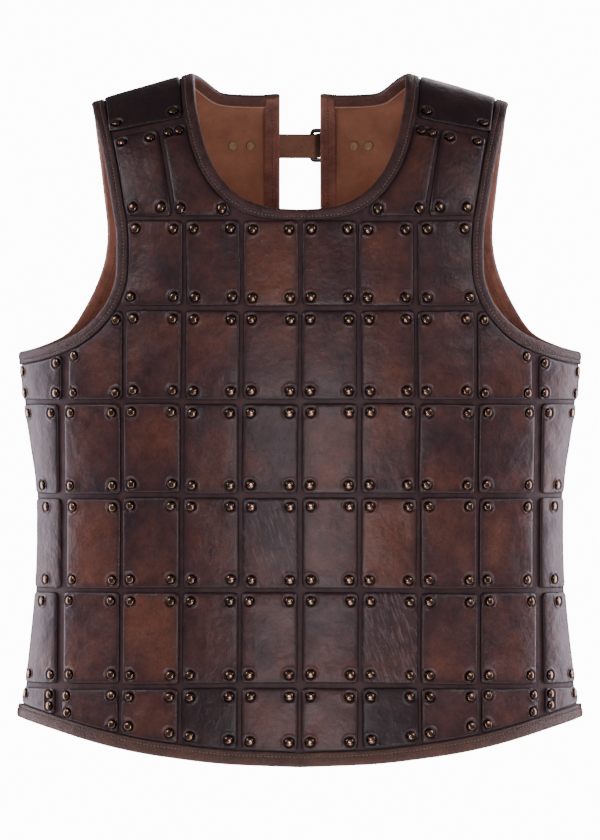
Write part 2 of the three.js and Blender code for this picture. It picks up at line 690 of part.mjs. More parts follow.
function prong() {
  const { left, right, bar, low, high } = BUCKLE;
  const { play, wall, neck, tip, width } = PRONG;
  const heel = right - bar;
  const around = play + wall;
  const hole = rectangle(heel - play, right + play, low - play, high + play, 0.3);
  const outline = [
    [heel - around + 0.2, low - around], [right + around, low - around], [right + around, high + around],
    [heel - around + 0.2, high + around], [heel - neck, high + around - 0.4],
    [left + bar, high + around + 0.2], [left - tip, high + around], [left - tip, high + play],
    [left + bar, high + play - 0.2], [heel - neck, high - around + 0.3],
  ];
  return extruded(outline, width, hole);
}

function keeper() {
  const { left, right, wall, low, high, play } = KEEPER;
  const half = STRAP_WIDTH / 2 + play;
  const outside = rectangle(-half - wall, half + wall, low - wall, high + wall, play);
  const ring = extruded(outside, right - left, rectangle(-half, half, low, high, SEAM));
  ring.rotateY(Math.PI / 2);
  ring.translate((left + right) / 2, 0, 0);
  return ring;
}

function rivet(x, seat) {
  const profile = [[0, 0], [1, 0], [0.7, 0.8], [0, 1]]
    .map(([r, h]) => new THREE.Vector2(r * RIVET_RADIUS, seat + SEAM + h * RIVET_RISE));
  const head = new THREE.LatheGeometry(profile, 8);
  head.translate(x, 0, 0);
  return toGeometry(toSolid(head));
}

const garment = new THREE.Group();

function add(name, geometry, look) {
  const mesh = new THREE.Mesh(geometry, new THREE.MeshStandardMaterial(LOOKS[look]));
  mesh.name = name;
  garment.add(mesh);
}

function addPair(name, geometry, look) {
  add(`${name}_right`, geometry, look);
  add(`${name}_left`, mirrored(geometry), look);
}

add('front_panel', frontPanel(), 'base');
addPair('back_panel', backPanel(), 'back');
addPair('shoulder_plate', shoulderPlate(), 'plate');
add('neck_binding_front', binding(FRONT, frontNeck, NECK_HINT, TRIM_WIDTH, BOTH_SEAMS), 'trim');
add('hem_binding_front', binding(FRONT, frontHem, UPWARD, HEM_WIDTH, BOTH_SEAMS), 'trim');
addPair('armhole_binding_front', binding(FRONT, frontArmhole, ARM_HINT, TRIM_WIDTH, BOTH_SEAMS), 'trim');
addPair('armhole_binding_back', binding(BACK, backArmhole, ARM_HINT, TRIM_WIDTH, BOTH_SEAMS), 'trim');

// The neck and hem strips end square, so they stop a little short of the opening's strip
const SQUARE_END = 0.9;
const besideOpening = OPENING_HALF + OPENING_WIDTH + SQUARE_END;
const fromSeam = { start: true, end: false };
addPair('neck_binding_back',
  binding(BACK, curveFrom(backNeck, besideOpening), NECK_HINT, TRIM_WIDTH, fromSeam), 'trim');
addPair('hem_binding_back',
  binding(BACK, curveFrom(hemHalf, besideOpening), UPWARD, HEM_WIDTH, fromSeam), 'trim');
addPair('opening_binding',
  binding(BACK, openingLine(OPENING_TOP, OPENING_BOTTOM), OUTWARD, OPENING_WIDTH, {}), 'trim');

STRAP_HEIGHTS.forEach((height, i) => {
  const n = i + 1;
  add(`strap_${n}`, bentOntoBack(strap(), height), 'strap');
  add(`buckle_tab_${n}`, bentOntoBack(tab(), height), 'strap');
  add(`buckle_frame_${n}`, bentOntoBack(buckleFrame(), height), 'steel');
  add(`buckle_prong_${n}`, bentOntoBack(prong(), height), 'steel');
  add(`strap_keeper_${n}`, bentOntoBack(keeper(), height), 'strap');
  STRAP_RIVETS.forEach((x, k) => {
    add(`strap_rivet_${n}_${k + 1}`, bentOntoBack(rivet(x, STRAP_SEAT + STRAP), height), 'brass');
  });
  TAB_RIVETS.forEach((x, k) => {
    add(`tab_rivet_${n}_${k + 1}`, bentOntoBack(rivet(x, TAB_LINE.top), height), 'brass');
  });
});

export default garment;
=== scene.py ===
import math
import bpy
import numpy as np
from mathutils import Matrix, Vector
from mathutils.geometry import delaunay_2d_cdt


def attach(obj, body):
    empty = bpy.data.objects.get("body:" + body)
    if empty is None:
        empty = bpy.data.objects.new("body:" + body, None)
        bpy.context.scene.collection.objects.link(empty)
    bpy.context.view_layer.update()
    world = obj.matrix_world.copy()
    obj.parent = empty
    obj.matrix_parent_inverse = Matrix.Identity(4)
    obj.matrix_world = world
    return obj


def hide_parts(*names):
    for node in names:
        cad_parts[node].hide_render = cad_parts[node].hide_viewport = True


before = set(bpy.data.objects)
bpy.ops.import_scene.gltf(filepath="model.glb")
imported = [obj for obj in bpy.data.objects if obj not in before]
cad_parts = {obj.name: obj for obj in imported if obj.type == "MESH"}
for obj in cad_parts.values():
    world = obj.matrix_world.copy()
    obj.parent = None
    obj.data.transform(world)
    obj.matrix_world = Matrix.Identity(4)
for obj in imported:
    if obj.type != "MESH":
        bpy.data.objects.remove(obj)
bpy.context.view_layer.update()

# Shapes are worked out in millimetres on the same body as the solids: x across, level down the front,
# rise out from the base leather. make() turns them into metres.
MM = 0.001
FRONT, BACK = -1, 1

# level, half width, front depth, back depth
SECTIONS = np.array([
    (-620, 260, 110, 109), (-560, 254, 106, 104), (-525, 248.5, 103, 100), (-488, 244, 100, 95),
    (-447, 240.2, 98, 90), (-400, 238.4, 98, 87), (-352, 239.5, 101, 89), (-315, 244.6, 104, 93),
    (-276, 250.8, 107, 99), (-236, 254, 107, 103), (-150, 255, 102, 106), (-60, 253, 95, 101),
    (70, 252, 86, 92)], float)
HALF, DEPTH = 1, {FRONT: 2, BACK: 3}
FLATNESS, ROUNDNESS = 2.6, 0.77
ARCH, SPAN, RIDGE = -115.0, 180.0, 65.0
BOW, BOW_LEVEL, BOW_HALF = 0.033, -297.0, 255.0
RIDGE_IN, RIDGE_IN_Z, RIDGE_FALL = 98.5, 17.0, 26 / 89.5
WALL = 3.0

FRONT_NECK = [(97.6, 65), (97, 29), (95.3, -9), (92, -33), (86.5, -58.6), (77.5, -80), (63.5, -96.7),
              (47.5, -106.4), (27.3, -111.6), (0, -113.3)]
FRONT_ARMHOLE = [(188.5, 65), (185, 10), (179, -31), (172.3, -70), (166.3, -106), (162.3, -132),
                 (161.8, -155.7), (163.1, -174.1), (169.4, -191.6), (180, -206.1), (193.3, -217.9),
                 (207.8, -225.7), (230, -233), (253.9, -237.5)]
BACK_ARMHOLE = [(188.5, 65), (187.6, 20), (186, -24), (181.6, -82.6), (178.3, -120.5), (179.3, -141.6),
                (183, -159.2), (189.9, -177.8), (197.7, -193.7), (207.4, -210.5), (217.9, -221.7),
                (236.8, -231.4), (253.9, -237.5)]
BACK_NECK = [(97.6, 65), (94.5, 52), (87.2, 29.5), (78.4, 11.2), (69.4, 1.6), (47.3, -7), (19.5, -14.2)]
HEM = [(255.3, -557), (224.5, -565.1), (184, -576.7), (149.3, -584.9), (114.4, -590.8), (64.1, -597),
       (0, -600)]
OPENING_HALF, OPENING_TOP, OPENING_BOTTOM, OPENING_WIDTH = 19.5, -12.5, -601.5, 14.0
TRIM_WIDTH, HEM_WIDTH = 10.5, 11.5
COLUMN_GAP, SIDE_GAP, ROW_GAP = 2.9, 7.0, 3.9

# Rows of plates: middles of the gaps above and below, middles of the gaps between the columns, how far
# those lean outwards up the row, and the first and last columns that carry plates
ROWS = [
    dict(top=-37, bottom=-119.7, gaps=(0, 59, 111.5, 172, 222), lean=14, first=1, last=2),
    dict(top=-119.7, bottom=-198.7, gaps=(0, 51, 101.9, 160, 212), lean=0, first=0, last=2),
    dict(top=-198.7, bottom=-280.3, gaps=(0, 51.7, 102.5, 155.2, 209.4), lean=0, first=0, last=4),
    dict(top=-280.3, bottom=-362.9, gaps=(0, 52.2, 103.7, 156.8, 212.8), lean=0, first=0, last=4),
    dict(top=-362.9, bottom=-446.1, gaps=(0, 52.1, 104.4, 157.4, 211.6), lean=0, first=0, last=4),
    dict(top=-446.1, bottom=-529.6, gaps=(0, 52.6, 104.8, 158.2, 214.2), lean=0, first=0, last=4),
    dict(top=-529.6, bottom=-616, gaps=(0, 52.9, 105.6, 159.3, 215.8), lean=0, first=0, last=4),
]
# How many rivets the side plates have at the top and at the bottom, by row
SIDE_RIVETS = {2: (2, 2), 3: (2, 1), 4: (1, 1), 5: (1, 2), 6: (2, 2)}
RIVET_RADIUS, RIVET_RISE, RIVET_INSET, NARROW_INSET = 4.0, 2.1, 7.6, 5.8
# Plates whose rivets sit closer to the corners, as row and column
NARROW_PLATES = {(0, 1), (2, 3), (2, 4), (6, 3), (6, 4)}

# How light and how warm each plate is, left to right across the front, and how wrinkled, which also sets a
# painted sheen on its wrinkles
TONES = [
    [(0.39, 0.35, 0.3), (0.43, 0.4, 0.2), (0.43, 0.5, 0.2), (0.39, 0.4, 0.3)],
    [(0.5, 0.5, 0.3), (0.45, 0.45, 0.2), (0.75, 0.95, 0.2),
     (0.45, 0.5, 0.3), (0.5, 0.55, 0.2), (0.5, 0.4, 0.3)],
    [(0.4, 0.3, 0.3), (0.45, 0.4, 0.3), (0.5, 0.5, 0.3), (0.5, 0.55, 0.3), (0.5, 0.5, 0.3),
     (0.45, 0.4, 0.3), (0.5, 0.5, 0.2), (0.5, 0.45, 0.3), (0.5, 0.45, 0.3), (0.55, 0.3, 0.3)],
    [(0.35, 0.3, 0.3), (0.45, 0.5, 0.3), (0.5, 0.5, 0.3), (0.45, 0.4, 0.45), (0.45, 0.4, 0.45),
     (0.5, 0.55, 0.3), (0.5, 0.5, 0.3), (0.5, 0.4, 0.3), (0.5, 0.5, 0.4), (0.5, 0.3, 0.3)],
    [(0.45, 0.35, 1.0), (0.7, 0.95, 0.3), (0.5, 0.5, 0.3), (0.45, 0.4, 0.4), (0.4, 0.35, 0.8),
     (0.5, 0.5, 0.3), (0.7, 0.9, 0.3), (0.55, 0.6, 0.4), (0.5, 0.5, 0.3), (0.5, 0.3, 0.3)],
    [(0.4, 0.3, 0.3), (0.5, 0.6, 0.3), (0.65, 0.9, 0.3), (0.45, 0.4, 0.3), (0.5, 0.5, 0.3),
     (0.5, 0.5, 0.3), (0.45, 0.4, 1.0), (0.5, 0.5, 0.3), (0.5, 0.5, 0.3), (0.45, 0.3, 0.3)],
    [(0.4, 0.3, 0.3), (0.45, 0.5, 0.3), (0.5, 0.5, 0.3), (0.2, 0.2, 0.4), (0.45, 0.4, 0.3),
     (0.45, 0.4, 0.3), (0.2, 0.2, 0.4), (0.5, 0.5, 0.3), (0.5, 0.45, 0.3), (0.45, 0.3, 0.3)],
]

# A shoulder plate's inner and outer side and its level, at its front edge, the ridge and its back edge
SHOULDER_FRONT, SHOULDER_RIDGE, SHOULDER_BACK = (105.5, 168, -31), (110.5, 175, 65), (106, 173, 4)
SHOULDER_WIDTH = 63.0
STRAP_HEIGHTS = [-41, -190, -341, -492]


# The body's surface
def body_size(column, level):
    """A size of the body from one column of SECTIONS, on a smooth curve through its rows"""
    levels, values = SECTIONS[:, 0], SECTIONS[:, column]
    level = np.clip(level, levels[0], levels[-1])
    i = np.clip(np.searchsorted(levels, level, side="right") - 1, 0, len(levels) - 2)
    k = np.arange(len(levels))
    a, b = np.maximum(k - 1, 0), np.minimum(k + 1, len(levels) - 1)
    slope = (values[b] - values[a]) / (levels[b] - levels[a])
    step = levels[i + 1] - levels[i]
    t = (level - levels[i]) / step
    return ((2 * t**3 - 3 * t**2 + 1) * values[i] + (t**3 - 2 * t**2 + t) * slope[i] * step
            + (3 * t**2 - 2 * t**3) * values[i + 1] + (t**3 - t**2) * slope[i + 1] * step)


def arch(x):
    """How much the rows bow at x, where the shoulder arch starts and how high the ridge is"""
    bow = BOW * (x / BOW_HALF)**2
    return bow, ARCH + bow * (ARCH - BOW_LEVEL), RIDGE_IN_Z - RIDGE_FALL * (np.abs(x) - RIDGE_IN)


def face_point(side, x, level):
    """The point of the front's or the back's outer face at x and level"""
    x, level = np.broadcast_arrays(np.asarray(x, float), np.asarray(level, float))
    level = np.minimum(level, RIDGE)
    across = np.minimum(1, np.abs(x) / body_size(HALF, level))
    y = side * body_size(DEPTH[side], level) * (1 - across**FLATNESS)**ROUNDNESS
    bow, foot, ridge = arch(x)
    turn = np.clip((level - ARCH) / SPAN, 0, 1) * math.pi / 2
    z = np.where(level <= ARCH, level + bow * (level - BOW_LEVEL), foot + (ridge - foot) * np.sin(turn))
    return np.stack([x, y * np.cos(turn), z], -1)


def slopes(side, x, level):
    """How far the face runs for each millimetre of x and of level, worked out on its right half"""
    half, h = body_size(HALF, level), 0.5
    size, top = np.minimum(np.abs(x), half), np.minimum(level, RIDGE)
    right, up = np.minimum(size + h, half), np.minimum(top + h, RIDGE)
    along_x = face_point(side, right, top) - face_point(side, size - h, top)
    along_level = face_point(side, size, up) - face_point(side, size, top - h)
    return along_x / (right - size + h)[..., None], along_level / (up - top + h)[..., None]


def face_normal(side, x, level):
    x, level = np.broadcast_arrays(np.asarray(x, float), np.asarray(level, float))
    normal = np.cross(*slopes(side, x, level)) * -side
    normal /= np.linalg.norm(normal, axis=-1, keepdims=True)
    normal[..., 0] *= np.where(x < 0, -1, 1)
    return normal


def rise_from(side, x, level, rise):
    return face_point(side, x, level) + face_normal(side, x, level) * np.asarray(rise, float)[..., None]


# A quarter of a cross-section of half width 1 and a usual depth: x, and the distance round to it
USUAL_DEPTH = 0.417
QUARTER_X = np.sin(np.linspace(0, math.pi / 2, 800))
QUARTER_Y = USUAL_DEPTH * (1 - QUARTER_X**FLATNESS)**ROUNDNESS
QUARTER_RUN = np.concatenate([[0], np.cumsum(np.hypot(np.diff(QUARTER_X), np.diff(QUARTER_Y)))])


def round_of(x, level):
    """Distance round the body from its middle to x"""
    half = body_size(HALF, level)
    return np.sign(x) * half * np.interp(np.minimum(np.abs(x) / half, 1), QUARTER_X, QUARTER_RUN)


def x_of(s, level):
    """The x that lies a distance round the body from its middle"""
    half = body_size(HALF, level)
    return np.sign(s) * half * np.interp(np.abs(s) / half, QUARTER_RUN, QUARTER_X)


# Curves and outlines
def curve_through(table, each, limited=False):
    """Points on a smooth curve through a table's points. A limited one can't swing past them."""
    p = np.array(table, float)
    p = np.vstack([p[0], p, p[-1]])
    found = []
    for i in range(1, len(p) - 2):
        a, b = p[i], p[i + 1]
        t = np.linspace(0, 1, each, endpoint=False)[:, None]
        v0, v1 = (b - p[i - 1]) / 2, (p[i + 2] - a) / 2
        if limited:
            most = np.linalg.norm(b - a)
            v0, v1 = (v * min(1, most / max(np.linalg.norm(v), 1e-9)) for v in (v0, v1))
        found.append((2 * a - 2 * b + v0 + v1) * t**3 + (3 * b - 3 * a - 2 * v0 - v1) * t**2 + v0 * t + a)
    return np.vstack([*found, p[-1:]])


def smooth_curve(table, count):
    return spaced(curve_through(table, 40), count)


def run_along(points):
    """Distance along a line of points to each of them"""
    return np.concatenate([[0], np.cumsum(np.linalg.norm(np.diff(points, axis=0), axis=1))])


def spaced(points, count):
    run = run_along(points)
    at = np.linspace(0, run[-1], count)
    return np.stack([np.interp(at, run, points[:, k]) for k in range(points.shape[1])], 1)


def circle(centre, radius, count):
    turn = np.arange(count) * 2 * math.pi / count
    return centre + radius * np.stack([np.cos(turn), np.sin(turn)], 1)


def ring_faces(rings, count, closed=False):
    """Four-sided faces between rings of count points. Closed ones join the last ring to the first."""
    pairs = [(i * count, (i + 1) % rings * count) for i in range(rings if closed else rings - 1)]
    return [(a + k, a + (k + 1) % count, b + (k + 1) % count, b + k) for a, b in pairs for k in range(count)]


def both_halves(curve):
    return np.vstack([curve * [-1, 1], curve[::-1][1:]])


def edge_frames(side, curve, hint):
    """An edge line's x and level, the way in from it along the face, and the face's slopes there"""
    x, level = curve[:, 0], curve[:, 1]
    point = face_point(side, x, level)
    tangent = np.vstack([point[1:], point[-1:]]) - np.vstack([point[:1], point[:-1]])
    tangent /= np.linalg.norm(tangent, axis=1, keepdims=True)
    inward = np.cross(tangent, face_normal(side, x, level))
    inward /= np.linalg.norm(inward, axis=1, keepdims=True)
    mirror = np.where(x < 0, -1.0, 1.0)
    along_x, along_level = slopes(side, x, level)
    along_x[:, 1:] *= mirror[:, None]
    along_level[:, 0] *= mirror
    way = along_x * (hint[0] * mirror)[:, None] + along_level * hint[1]
    inward *= np.where((inward * way).sum(1) < 0, -1, 1)[:, None]
    return x, level, inward, along_x, along_level


def inset(frames, m):
    """x and level of what lies m in from an edge, measured along the face"""
    x, level, inward, ax, al = frames
    xx, xl, ll = (ax * ax).sum(1), (ax * al).sum(1), (al * al).sum(1)
    ix, il = (inward * ax).sum(1), (inward * al).sum(1)
    det = xx * ll - xl * xl
    return x + m * (ix * ll - il * xl) / det, level + m * (il * xx - ix * xl) / det


def within(points, loop):
    """Which points lie inside a closed loop"""
    x, y = points[:, 0][:, None], points[:, 1][:, None]
    a, b = loop, np.roll(loop, -1, axis=0)
    crosses = (a[:, 1] > y) != (b[:, 1] > y)
    span = np.where(b[:, 1] == a[:, 1], 1e-12, b[:, 1] - a[:, 1])
    return ((crosses & (x < (b[:, 0] - a[:, 0]) * (y - a[:, 1]) / span + a[:, 0])).sum(1) % 2) == 1


def triangulated(loops, inner=()):
    points, edges = [], []
    for loop in loops:
        start, n = len(points), len(loop)
        points += [Vector(p) for p in loop]
        edges += [(start + i, start + (i + 1) % n) for i in range(n)]
    points += [Vector(p) for p in inner]
    made = delaunay_2d_cdt(points, edges, [], 0, 1e-4)
    flat = np.array([(v.x, v.y) for v in made[0]])
    return flat, np.array([f[:3] for f in made[2]])


def clipped(loop, region):
    """The part of a loop inside a region, as one loop"""
    flat, faces = triangulated([loop, region])
    centre = flat[faces].mean(1)
    faces = faces[within(centre, loop) & within(centre, region)]
    ring = rim_of(faces)
    follow = {a: b for a, b in ring}
    start = ring[0][0]
    path, at = [start], follow[start]
    while at != start and len(path) <= len(ring):
        path.append(at)
        at = follow[at]
    return flat[path]


def rim_of(faces):
    """The directed edges that only one face uses"""
    edges = np.vstack([faces[:, [0, 1]], faces[:, [1, 2]], faces[:, [2, 0]]])
    known = {(int(a), int(b)) for a, b in edges}
    return [(a, b) for a, b in known if (b, a) not in known]


def closed_spaced(loop, step):
    whole = np.vstack([loop, loop[:1]])
    length = np.linalg.norm(np.diff(whole, axis=0), axis=1).sum()
    return spaced(whole, max(int(length / step), 8) + 1)[:-1]


def rounded(loop, spread, step=1.0):
    """A loop with its corners rounded, by running a soft brush along it"""
    p = closed_spaced(loop, step)
    reach = int(3 * spread / step)
    k = np.arange(-reach, reach + 1)
    weight = np.exp(-0.5 * (k * step / spread)**2)
    weight /= weight.sum()
    return sum(w * np.roll(p, -i, axis=0) for i, w in zip(k, weight))


def signed_area(loop):
    return 0.5 * (loop[:, 0] * np.roll(loop[:, 1], -1) - loop[:, 1] * np.roll(loop[:, 0], -1)).sum()


def loop_normals(loop):
    """The way into a flat loop from each of its points"""
    along = np.roll(loop, -1, axis=0) - np.roll(loop, 1, axis=0)
    along /= np.linalg.norm(along, axis=1, keepdims=True)
    normal = np.stack([-along[:, 1], along[:, 0]], 1)
    return normal if signed_area(loop) > 0 else -normal


def distance_to(points, loop):
    a, b = loop, np.roll(loop, -1, axis=0)
    ab = b - a
    t = np.clip(((points[:, None] - a) * ab).sum(2) / np.maximum((ab * ab).sum(1), 1e-12), 0, 1)
    return np.linalg.norm(points[:, None] - (a + t[..., None] * ab), axis=2).min(1)


def grid_in(loop, step, clear):
    """Points on a triangular grid inside a loop and clear of it"""
    (left, bottom), (right, top) = loop.min(0), loop.max(0)
    xs, ys = np.arange(left + step / 2, right, step), np.arange(bottom + step / 2, top, step * 0.87)
    points = np.array([(x + (step / 2 if j % 2 else 0), y) for j, y in enumerate(ys) for x in xs])
    points = points[within(points, loop)]
    return points[distance_to(points, loop) > clear]


# Meshes
def make(name, points, faces, materials, attributes=None, groups=None):
    """A smooth-shaded mesh object from points in millimetres"""
    mesh = bpy.data.meshes.new(name)
    mesh.from_pydata((np.asarray(points, float) * MM).tolist(), [], [list(map(int, f)) for f in faces])
    for material in materials:
        mesh.materials.append(material)
    if groups is not None:
        mesh.polygons.foreach_set("material_index", np.asarray(groups, np.int32))
    mesh.polygons.foreach_set("use_smooth", np.full(len(mesh.polygons), True))
    for key, values in (attributes or {}).items():
        mesh.attributes.new(key, "FLOAT", "POINT").data.foreach_set("value", np.asarray(values, np.float32))
    mesh.validate()
    mesh.update()
    piece = bpy.data.objects.new(name, mesh)
    bpy.context.scene.collection.objects.link(piece)
    return piece


class Gather:
    """Points, faces and attributes of many small shapes, to be made as one piece"""
    def __init__(self):
        self.points, self.faces, self.count, self.values = [], [], 0, {}

    def add(self, points, faces, **values):
        self.points.append(points)
        self.faces += [tuple(i + self.count for i in f) for f in faces]
        for key, value in values.items():
            self.values.setdefault(key, []).append(np.broadcast_to(np.asarray(value, float), len(points)))
        self.count += len(points)

    def make(self, name, materials):
        values = {key: np.concatenate(parts) for key, parts in self.values.items()}
        return make(name, np.vstack(self.points), self.faces, materials, values)


def settle(piece, slot_name, *nodes):
    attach(piece, "root")
    if nodes:
        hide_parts(*nodes)
    return piece


# Materials
class Paint:
    """A material under construction"""
    def __init__(self, name):
        self.material = bpy.data.materials.new(name)
        self.material.use_nodes = True
        self.tree = self.material.node_tree
        self.shader = self.tree.nodes["Principled BSDF"]
        self.place = self.node("ShaderNodeTexCoord").outputs["Object"]

    def node(self, kind):
        return self.tree.nodes.new(kind)

    def feed(self, value, socket):
        """Link a socket's value, or set a colour or a number"""
        if isinstance(value, bpy.types.NodeSocket):
            self.tree.links.new(value, socket)
        elif hasattr(value, "__len__"):
            socket.default_value = (*value, 1)
        elif value is not None:
            socket.default_value = value

    def noise(self, scale, detail, rough, stretch=None, turn=0.0):
        """Noise, perhaps stretched along axes that are turned about Y"""
        node, place = self.node("ShaderNodeTexNoise"), self.place
        for key, value in (("Scale", scale), ("Detail", detail), ("Roughness", rough)):
            node.inputs[key].default_value = value
        if stretch:
            mapping = self.node("ShaderNodeMapping")
            mapping.vector_type = "TEXTURE"
            mapping.inputs["Rotation"].default_value = (0, turn, 0)
            mapping.inputs["Scale"].default_value = stretch
            self.feed(place, mapping.inputs["Vector"])
            place = mapping.outputs["Vector"]
        self.feed(place, node.inputs["Vector"])
        return node.outputs[0]

    def cells(self, scale):
        node = self.node("ShaderNodeTexVoronoi")
        node.inputs["Scale"].default_value = scale
        self.feed(self.place, node.inputs["Vector"])
        return node.outputs["Distance"]

    def attribute(self, name):
        node = self.node("ShaderNodeAttribute")
        node.attribute_name = name
        return node.outputs["Fac"]

    def ramp(self, value, *stops):
        node = self.node("ShaderNodeValToRGB")
        for element, (at, colour) in zip(node.color_ramp.elements, stops):
            element.position = at
            element.color = (*colour, 1) if hasattr(colour, "__len__") else (colour, colour, colour, 1)
        self.feed(value, node.inputs["Fac"])
        return node.outputs["Color"]

    def mottled(self, scale, detail, rough, low, high):
        """A colour that wanders between two"""
        return self.ramp(self.noise(scale, detail, rough), (0.3, low), (0.7, high))

    def mix(self, share, a, b):
        node = self.node("ShaderNodeMix")
        node.data_type = "RGBA"
        for value, socket in ((share, node.inputs[0]), (a, node.inputs[6]), (b, node.inputs[7])):
            self.feed(value, socket)
        return node.outputs[2]

    def math(self, how, a, b, clamp=False):
        node = self.node("ShaderNodeMath")
        node.operation, node.use_clamp = how, clamp
        for value, socket in zip((a, b), node.inputs):
            self.feed(value, socket)
        return node.outputs[0]

    def times(self, a, b, clamp=False):
        return self.math("MULTIPLY", a, b, clamp)

    def uneven(self, scale, detail, rough, reach, least):
        """A number that wanders up from the least by less than the reach"""
        return self.math("ADD", self.times(self.noise(scale, detail, rough), reach), least)

    def bumps(self, *layers):
        """Layers of height, distance and strength, each laid over the one before"""
        normal = None
        for height, distance, strength in layers:
            node = self.node("ShaderNodeBump")
            values = dict(Strength=strength, Distance=distance, Height=height, Normal=normal)
            for key, value in values.items():
                self.feed(value, node.inputs[key])
            normal = node.outputs["Normal"]
        return normal

    def finish(self, colour, rough, normal=None, **numbers):
        self.feed(colour, self.shader.inputs["Base Color"])
        self.feed(rough, self.shader.inputs["Roughness"])
        self.feed(normal, self.shader.inputs["Normal"])
        for key, value in numbers.items():
            self.shader.inputs[key.replace("_", " ")].default_value = value
        return self.material


def plate_leather():
    p = Paint("plate_leather")
    looks = ("tone", "warm", "edge", "ring", "lip", "wrinkle")
    tone, warm, edge, ring, lip, wrinkle = (p.attribute(look) for look in looks)
    # Reddish and orange worn middles over a dark purplish brown
    blotch = p.noise(70, 6, 0.7)
    dark = p.ramp(blotch, (0.3, (0.028, 0.0135, 0.0165)), (0.7, (0.062, 0.029, 0.034)))
    red = p.ramp(blotch, (0.3, (0.095, 0.032, 0.022)), (0.7, (0.185, 0.064, 0.038)))
    cloudy = p.times(p.math("SUBTRACT", p.noise(20, 5, 0.6), 0.5), 2.6)
    worn = p.math("ADD", p.times(warm, 0.8), cloudy)
    colour = p.mix(p.times(worn, p.math("SUBTRACT", 1.0, edge, True), True), dark, red)
    pores = p.ramp(p.noise(420, 4, 0.7), (0.35, 1.0), (0.55, 0.0))
    # Light lilac streaks on wrinkled plates: a painted sheen on the wrinkled grain
    wrinkle_sheen = p.ramp(p.noise(260, 6, 0.75, (0.5, 1, 4.0), -0.3), (0.5, 0.0), (0.66, 1.0))
    painted_wrinkle_sheen = p.times(p.math("SUBTRACT", wrinkle, 0.45, True), wrinkle_sheen)
    for share, strength, tint in (
            (p.math("SUBTRACT", tone, 0.5), 0.7, (0.21, 0.075, 0.042)),
            (p.math("SUBTRACT", 0.5, tone), 2.0, (0.012, 0.007, 0.009)),
            # Darker at the burnished edges, and near black round each rivet's foot: a painted shadow
            (edge, 0.6, (0.012, 0.006, 0.007)), (ring, 0.95, (0.003, 0.002, 0.002)),
            # The light crescent on the crater rim above each rivet is a painted highlight
            (lip, 0.3, (0.30, 0.20, 0.20)), (pores, 0.3, (0.008, 0.005, 0.005)),
            (painted_wrinkle_sheen, 0.7, (0.34, 0.24, 0.25))):
        colour = p.mix(p.times(share, strength, True), colour, tint)
    grain = p.math("ADD", p.times(p.cells(700), 0.5), p.times(p.noise(900, 3, 0.6), 0.6))
    creases = p.times(p.noise(170, 6, 0.72), p.times(wrinkle, 1.6))
    normal = p.bumps((grain, 0.00025, 0.5), (creases, 0.0011, 0.6), (p.noise(110, 5, 0.75), 0.0006, 0.35),
                     (p.noise(34, 3, 0.5), 0.003, 0.8))
    return p.finish(colour, p.uneven(60, 5, 0.65, 0.34, 0.2), normal, Coat_Weight=0.12, Coat_Roughness=0.26,
                    Specular_IOR_Level=0.38)


def base_leather():
    p = Paint("base_leather")
    colour = p.mottled(60, 6, 0.7, (0.032, 0.016, 0.017), (0.082, 0.040, 0.041))
    normal = p.bumps((p.noise(90, 4, 0.6), 0.001, 0.5), (p.noise(700, 4, 0.6), 0.0003, 0.5))
    return p.finish(colour, p.uneven(50, 4, 0.6, 0.3, 0.34), normal, Specular_IOR_Level=0.3)


def back_leather():
    p = Paint("back_leather")
    colour = p.mottled(16, 7, 0.7, (0.030, 0.0145, 0.0145), (0.100, 0.042, 0.032))
    colour = p.mix(p.times(p.noise(90, 5, 0.7), 0.5), colour, (0.02, 0.012, 0.011))
    normal = p.bumps((p.noise(38, 5, 0.6), 0.002, 0.5), (p.cells(420), 0.0003, 0.5))
    return p.finish(colour, p.uneven(40, 5, 0.65, 0.35, 0.33), normal, Specular_IOR_Level=0.35)


def flesh_leather():
    p = Paint("flesh_side_leather")
    colour = p.mottled(26, 7, 0.7, (0.31, 0.133, 0.072), (0.55, 0.268, 0.157))
    colour = p.mix(p.times(p.noise(500, 4, 0.7), 0.4), colour, (0.19, 0.083, 0.05))
    normal = p.bumps((p.noise(60, 5, 0.6), 0.001, 0.4), (p.noise(1100, 3, 0.7), 0.0003, 0.6))
    return p.finish(colour, 0.82, normal)


def binding_leather():
    p = Paint("binding_leather")
    inside, cut, warm, edge = (p.attribute(look) for look in ("inside", "cut", "warm", "edge"))
    outer = p.mottled(50, 6, 0.7, (0.030, 0.015, 0.016), (0.105, 0.044, 0.036))
    at_hem = p.mottled(36, 6, 0.7, (0.060, 0.028, 0.019), (0.165, 0.078, 0.048))
    inner = p.mottled(24, 6, 0.7, (0.150, 0.058, 0.043), (0.52, 0.225, 0.150))
    colour = p.mix(inside, p.mix(p.times(warm, 0.75), outer, at_hem), inner)
    line = p.times(edge, p.math("SUBTRACT", 0.8, p.times(inside, 0.45)), True)
    colour = p.mix(line, colour, (0.014, 0.007, 0.007))
    colour = p.mix(cut, colour, (0.75, 0.50, 0.34))
    grain = p.math("ADD", p.cells(650), p.noise(800, 4, 0.7))
    normal = p.bumps((p.noise(180, 5, 0.7), 0.0014, 0.8), (grain, 0.0005, 0.8))
    return p.finish(colour, p.uneven(70, 4, 0.6, 0.3, 0.28), normal, Specular_IOR_Level=0.4)


def strap_leather():
    p = Paint("strap_leather")
    grain = p.mottled(40, 7, 0.7, (0.060, 0.027, 0.020), (0.150, 0.066, 0.045))
    flesh = p.mottled(60, 7, 0.7, (0.27, 0.122, 0.072), (0.46, 0.235, 0.150))
    colour = p.mix(p.attribute("inside"), grain, flesh)
    # Darker at the edges and the pricked marks, and a painted shadow where the strap rises through the buckle
    colour = p.mix(p.times(p.attribute("edge"), 0.8, True), colour, (0.05, 0.024, 0.016))
    normal = p.bumps((p.noise(110, 5, 0.65), 0.0008, 0.5), (p.noise(900, 4, 0.6), 0.0002, 0.5))
    return p.finish(colour, p.uneven(70, 4, 0.6, 0.3, 0.38), normal)


